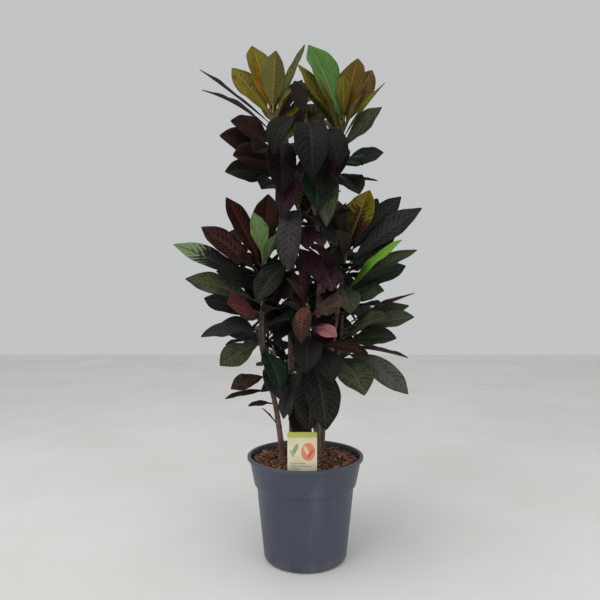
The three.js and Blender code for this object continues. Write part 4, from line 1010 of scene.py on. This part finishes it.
def make_chips():
    """Bark chips and splinters that lie on the compost."""
    build, random = Build(), random_from(CHIP_SEED)
    feet = [s[0]["path"][0] for s in STEMS.values()]
    for _ in range(CHIPS):
        r, a = (inner_radius(SOIL_Z) - 6) * math.sqrt(next(random)), TAU * next(random)
        x, y = r * math.cos(a), r * math.sin(a)
        turn = TAU * next(random)
        tilt, roll = ((next(random) - 0.5) * CHIP_TILT for _ in range(2))
        long = CHIP_LENGTH[0] + CHIP_LENGTH[1] * next(random) ** 2
        wide, high = (least + more * next(random) for least, more in (CHIP_WIDTH, CHIP_HEIGHT))
        tone = CHIP_TONES[int(next(random) * len(CHIP_TONES)) % len(CHIP_TONES)]
        size = 0.7 + 0.6 * next(random)
        if not free_for_chip(x, y, long, feet):
            continue
        ring = []
        for k in range(CHIP_SIDES):
            b = TAU * k / CHIP_SIDES
            px = long * size * math.cos(b) * (0.8 + 0.4 * next(random))
            ring.append((px, wide * size * math.sin(b) * (0.8 + 0.4 * next(random))))
        points = [(p, q, -high * 0.5) for p, q in ring] + [(p * 0.82, q * 0.8, high * 0.5) for p, q in ring]
        placed = tipped(points, x, y, soil_height(x, y) + high * 0.45, turn, tilt, roll)
        build.add(placed, prism_faces(CHIP_SIDES), tone=(*tone, 1))
    return build.object("bark_chips", [chip_material()], smooth=False)


soil = make_soil()
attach(soil, "root")
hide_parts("soil")
chips = make_chips()
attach(chips, "root")

# ---- Label ---------------------------------------------------------------------------------------

STAKE_POINT = 12


def make_label():
    w, h, s, c = LABEL_WIDTH / 2, LABEL_HEAD_HEIGHT, STAKE_WIDTH / 2, LABEL_CORNER
    ring = [
        *arc(-w + c, c, c, 180, 270, 6), (-s - 1.5, 0), *arc(-s - 1.5, -1.5, 1.5, 90, 0, 4),
        (-s, STAKE_POINT - STAKE_LENGTH), (0, -STAKE_LENGTH), (s, STAKE_POINT - STAKE_LENGTH),
        *arc(s + 1.5, -1.5, 1.5, 180, 90, 4),
        *arc(w - c, c, c, 270, 360, 6), *arc(w - c, h - c, c, 0, 90, 6), *arc(-w + c, h - c, c, 90, 180, 6),
    ]
    base, n = LABEL_TOP_Z - LABEL_HEAD_HEIGHT, len(ring)
    build = Build()
    sheets = (-LABEL_THICKNESS / 2, LABEL_THICKNESS / 2)
    points = [(LABEL_X + x, LABEL_Y + y, base + z) for y in sheets for x, z in ring]
    build.add(points, [list(range(n)), list(range(n, 2 * n))[::-1], *grid_faces(2, n, wrap=True, flip=True)])
    return build.object("label_card", [label_material()], smooth=False)


label = make_label()
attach(label, "root")
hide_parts("plant_label")

# ---- Stems and leaves ----------------------------------------------------------------------------

ROWS = 27
ACROSS = np.array([-1, -0.9, -0.7, -0.46, -0.24, -0.09, -0.035, 0, 0.035, 0.09, 0.24, 0.46, 0.7, 0.9, 1])
ARCH = 0.05  # rise of each half of the blade between the midrib and the edge, to its half width
RIPPLE, RIPPLES = 0.028, 3.7  # a finer wave at the edge: height to the half width, and number
EDGE_THINNING, TIP_SLIMMING = 0.35, 0.3
GROOVE = 0.35  # depth of the midrib's furrow above
STALK_ROWS, STALK_SIDES, STALK_RADII = 9, 8, (1.95, 1.3)
STEM_SIDES, STEM_STEP, BARK_REACH = 16, 5, 160
SCAR_DROP, SCAR_WIDTH, SCAR_HEIGHT = 6, 2.6, 0.35


def blade_sheets(leaf, seed):
    """The upper and the lower face of a blade: ROWS times ACROSS points each."""
    t = 0.35 * (1 - np.cos(np.linspace(0, math.pi, ROWS))) / 2 + 0.65 * np.linspace(0, 1, ROWS)
    drawn_in = np.clip((t - 0.82) / 0.18, 0, 1) ** 1.2 * (1 - np.clip((t - 0.97) / 0.03, 0, 1))
    half = np.maximum(leaf["width"] / 2 * outline(t) * (1 - TIP_SLIMMING * drawn_in), 1.3 * (1 - t))
    a, along_blade, wide = np.abs(ACROSS), t[:, None], half[:, None]
    ripple = TAU * (RIPPLES + seed) * along_blade + 2.6 * edge_phase(leaf, ACROSS) + 5 * seed
    relief = RIPPLE * wide * a**3 * np.sin(ripple) + ARCH * wide * np.sin(math.pi * a)
    middle, face = blade(leaf, t, ACROSS, half, relief)
    h = BLADE_THICKNESS / 2 * (1 - EDGE_THINNING * a**4)
    rib = np.clip(1 - a / 0.07, 0, 1) * (0.25 + 0.75 * (1 - along_blade))
    top = middle + face * (h - GROOVE * rib)[..., None]
    low = middle - face * (h + (RIB_DEPTH + GROOVE) * rib)[..., None]
    where = np.zeros((2, ROWS, len(ACROSS), 4))
    where[..., 0], where[..., 1], where[..., 2] = along_blade, (ACROSS + 1) / 2, seed
    where[1, ..., 3] = 1
    return np.concatenate([top.reshape(-1, 3), low.reshape(-1, 3)]), where.reshape(-1, 4)


def blade_faces():
    """The faces of both sheets, and of the edge, foot and tip between them."""
    n, m = ROWS, len(ACROSS)
    faces = grid_faces(n, m) + grid_faces(n, m, start=n * m, flip=True)
    for i in range(n - 1):
        for j, flip in ((0, True), (m - 1, False)):
            f = [i * m + j, n * m + i * m + j, n * m + (i + 1) * m + j, (i + 1) * m + j]
            faces.append(f[::-1] if flip else f)
    for j in range(m - 1):
        faces.append([j + 1, j, n * m + j, n * m + j + 1])
        k = (n - 1) * m + j
        faces.append([k, k + 1, n * m + k + 1, n * m + k])
    return [f[::-1] for f in faces]


def stalk_points(leaf):
    """The stalk, grooved above, which runs on into the midrib."""
    at, side, face = spine(leaf, np.linspace(1.0, leaf["stalk"] + 5, STALK_ROWS))
    points = []
    for i in range(STALK_ROWS):
        along_stalk = i / (STALK_ROWS - 1)
        r = STALK_RADII[0] + (STALK_RADII[1] - STALK_RADII[0]) * along_stalk
        for k in range(STALK_SIDES):
            b = TAU * k / STALK_SIDES + TAU / 16
            dip = -0.75 if math.sin(b) > 0.9 else 0
            up = r * math.sin(b) * 0.9 + dip - 0.35 - 0.5 * along_stalk
            points.append(at[i] + side[i] * r * math.cos(b) + face[i] * up)
    return points


def leaf_colours(leaf, seed):
    tone, second, rib, spread = TINTS[leaf["tint"]]
    light = 0.85 + 0.35 * ((seed * 7.13) % 1)
    tone, second = ((*(c * light for c in colour), 1) for colour in (tone, second))
    return dict(tone=tone, second=second, rib=(*rib, 1), spread=spread)


def add_leaf(build, leaf, seed):
    colours = leaf_colours(leaf, seed)
    points, where = blade_sheets(leaf, seed)
    build.add(points, blade_faces(), where=where, **colours)
    rows, sides = STALK_ROWS, STALK_SIDES
    caps = [list(range(sides)), list(range((rows - 1) * sides, rows * sides))[::-1]]
    faces = [*grid_faces(rows, sides, wrap=True, flip=True), *caps]
    build.add(stalk_points(leaf), faces, where=(0, 0.5, seed, 0.3), **colours)


def add_stem(build, shoot, seed):
    whole = length_of(shoot["line"])
    sides, count = STEM_SIDES, max(12, round(whole / STEM_STEP))
    scars = [leaf["down"] for leaf in shoot["leaves"]]
    points, where = [], []
    for i in range(count + 1):
        down = whole * (1 - i / count)
        x, y, z = below_tip(shoot["line"], down)
        radius = shoot["thick"][0] + (shoot["thick"][1] - shoot["thick"][0]) * (i / count)
        ring = max([math.exp(-(((down - s - SCAR_DROP) / SCAR_WIDTH) ** 2)) for s in scars] or [0])
        if down < 3:
            radius *= 0.75
        for k in range(sides):
            a = TAU * k / sides
            bulge = 1 + 0.03 * math.sin(3 * a + 0.07 * down + seed)
            r = (radius - 0.45) * bulge + SCAR_HEIGHT * ring
            points.append((x + r * math.cos(a), y + r * math.sin(a), z))
            where.append((min(1, math.exp(-down / BARK_REACH)), ring, seed % 1, 0))
    tip = shoot["line"][-1]
    points.append((tip[0], tip[1], tip[2] + 1))
    where.append((1, 0, 0, 0))
    last = count * sides
    faces = grid_faces(count + 1, sides, wrap=True) + [list(range(sides))[::-1]]
    faces += [[last + k, last + (k + 1) % sides, len(points) - 1] for k in range(sides)]
    blank = (0, 0, 0, 1)
    build.add(points, faces, slot=1, where=where, tone=blank, second=blank, rib=blank, spread=blank)


leaf_look, stem_look = leaf_material(), stem_material()
for number, (name, shoots) in enumerate(STEMS.items()):
    build, random = Build(), random_from(*LOOK_SEEDS, number)
    for s in shoots:
        add_stem(build, s, 10 * next(random))
        for leaf in s["leaves"]:
            add_leaf(build, leaf, next(random))
    plant = build.object(name.replace("croton", "leafy_stem"), [leaf_look, stem_look])
    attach(plant, "root")
    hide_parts(name)

# ---- Floor, light, background --------------------------------------------------------------------

FLOOR_HALF, FLOOR_DROP = 4000, 0.4

plane, h = Build(), FLOOR_HALF
plane.add([(x * h, y * h, -FLOOR_DROP) for x, y in ((-1, -1), (1, -1), (1, 1), (-1, 1))], [[0, 1, 2, 3]])
floor = plane.object("floor", [floor_material()], smooth=False)


def area(name, place, aim, size, power, colour=(1, 1, 1)):
    lamp = bpy.data.lights.new(name, "AREA")
    lamp.shape, lamp.size, lamp.size_y, lamp.energy, lamp.color = "RECTANGLE", size[0], size[1], power, colour
    made = bpy.data.objects.new(name, lamp)
    bpy.context.collection.objects.link(made)
    made.location = place
    direction = [a - p for a, p in zip(aim, place)]
    flat = math.hypot(direction[0], direction[1])
    turn = math.atan2(direction[1], direction[0]) - math.pi / 2
    made.rotation_euler = (math.atan2(flat, -direction[2]), 0, turn)


area("overhead", (-0.3, -0.5, 2.3), (0, 0, 0.5), (1.8, 1.4), 13)
area("front_left", (-1.4, -1.8, 1.5), (0, 0, 0.5), (1.2, 1.2), 10)
area("front_right", (1.5, -1.5, 1.0), (0, 0, 0.4), (1.0, 1.2), 5)

SKY_COLOUR, SKY_STRENGTH = (0.985, 1, 1.01, 1), 0.55

world = bpy.data.worlds.new("studio")
world.use_nodes = True
sky = world.node_tree.nodes["Background"].inputs
sky["Color"].default_value = SKY_COLOUR
sky["Strength"].default_value = SKY_STRENGTH
bpy.context.scene.world = world
bpy.context.scene.view_settings.view_transform = "Standard"
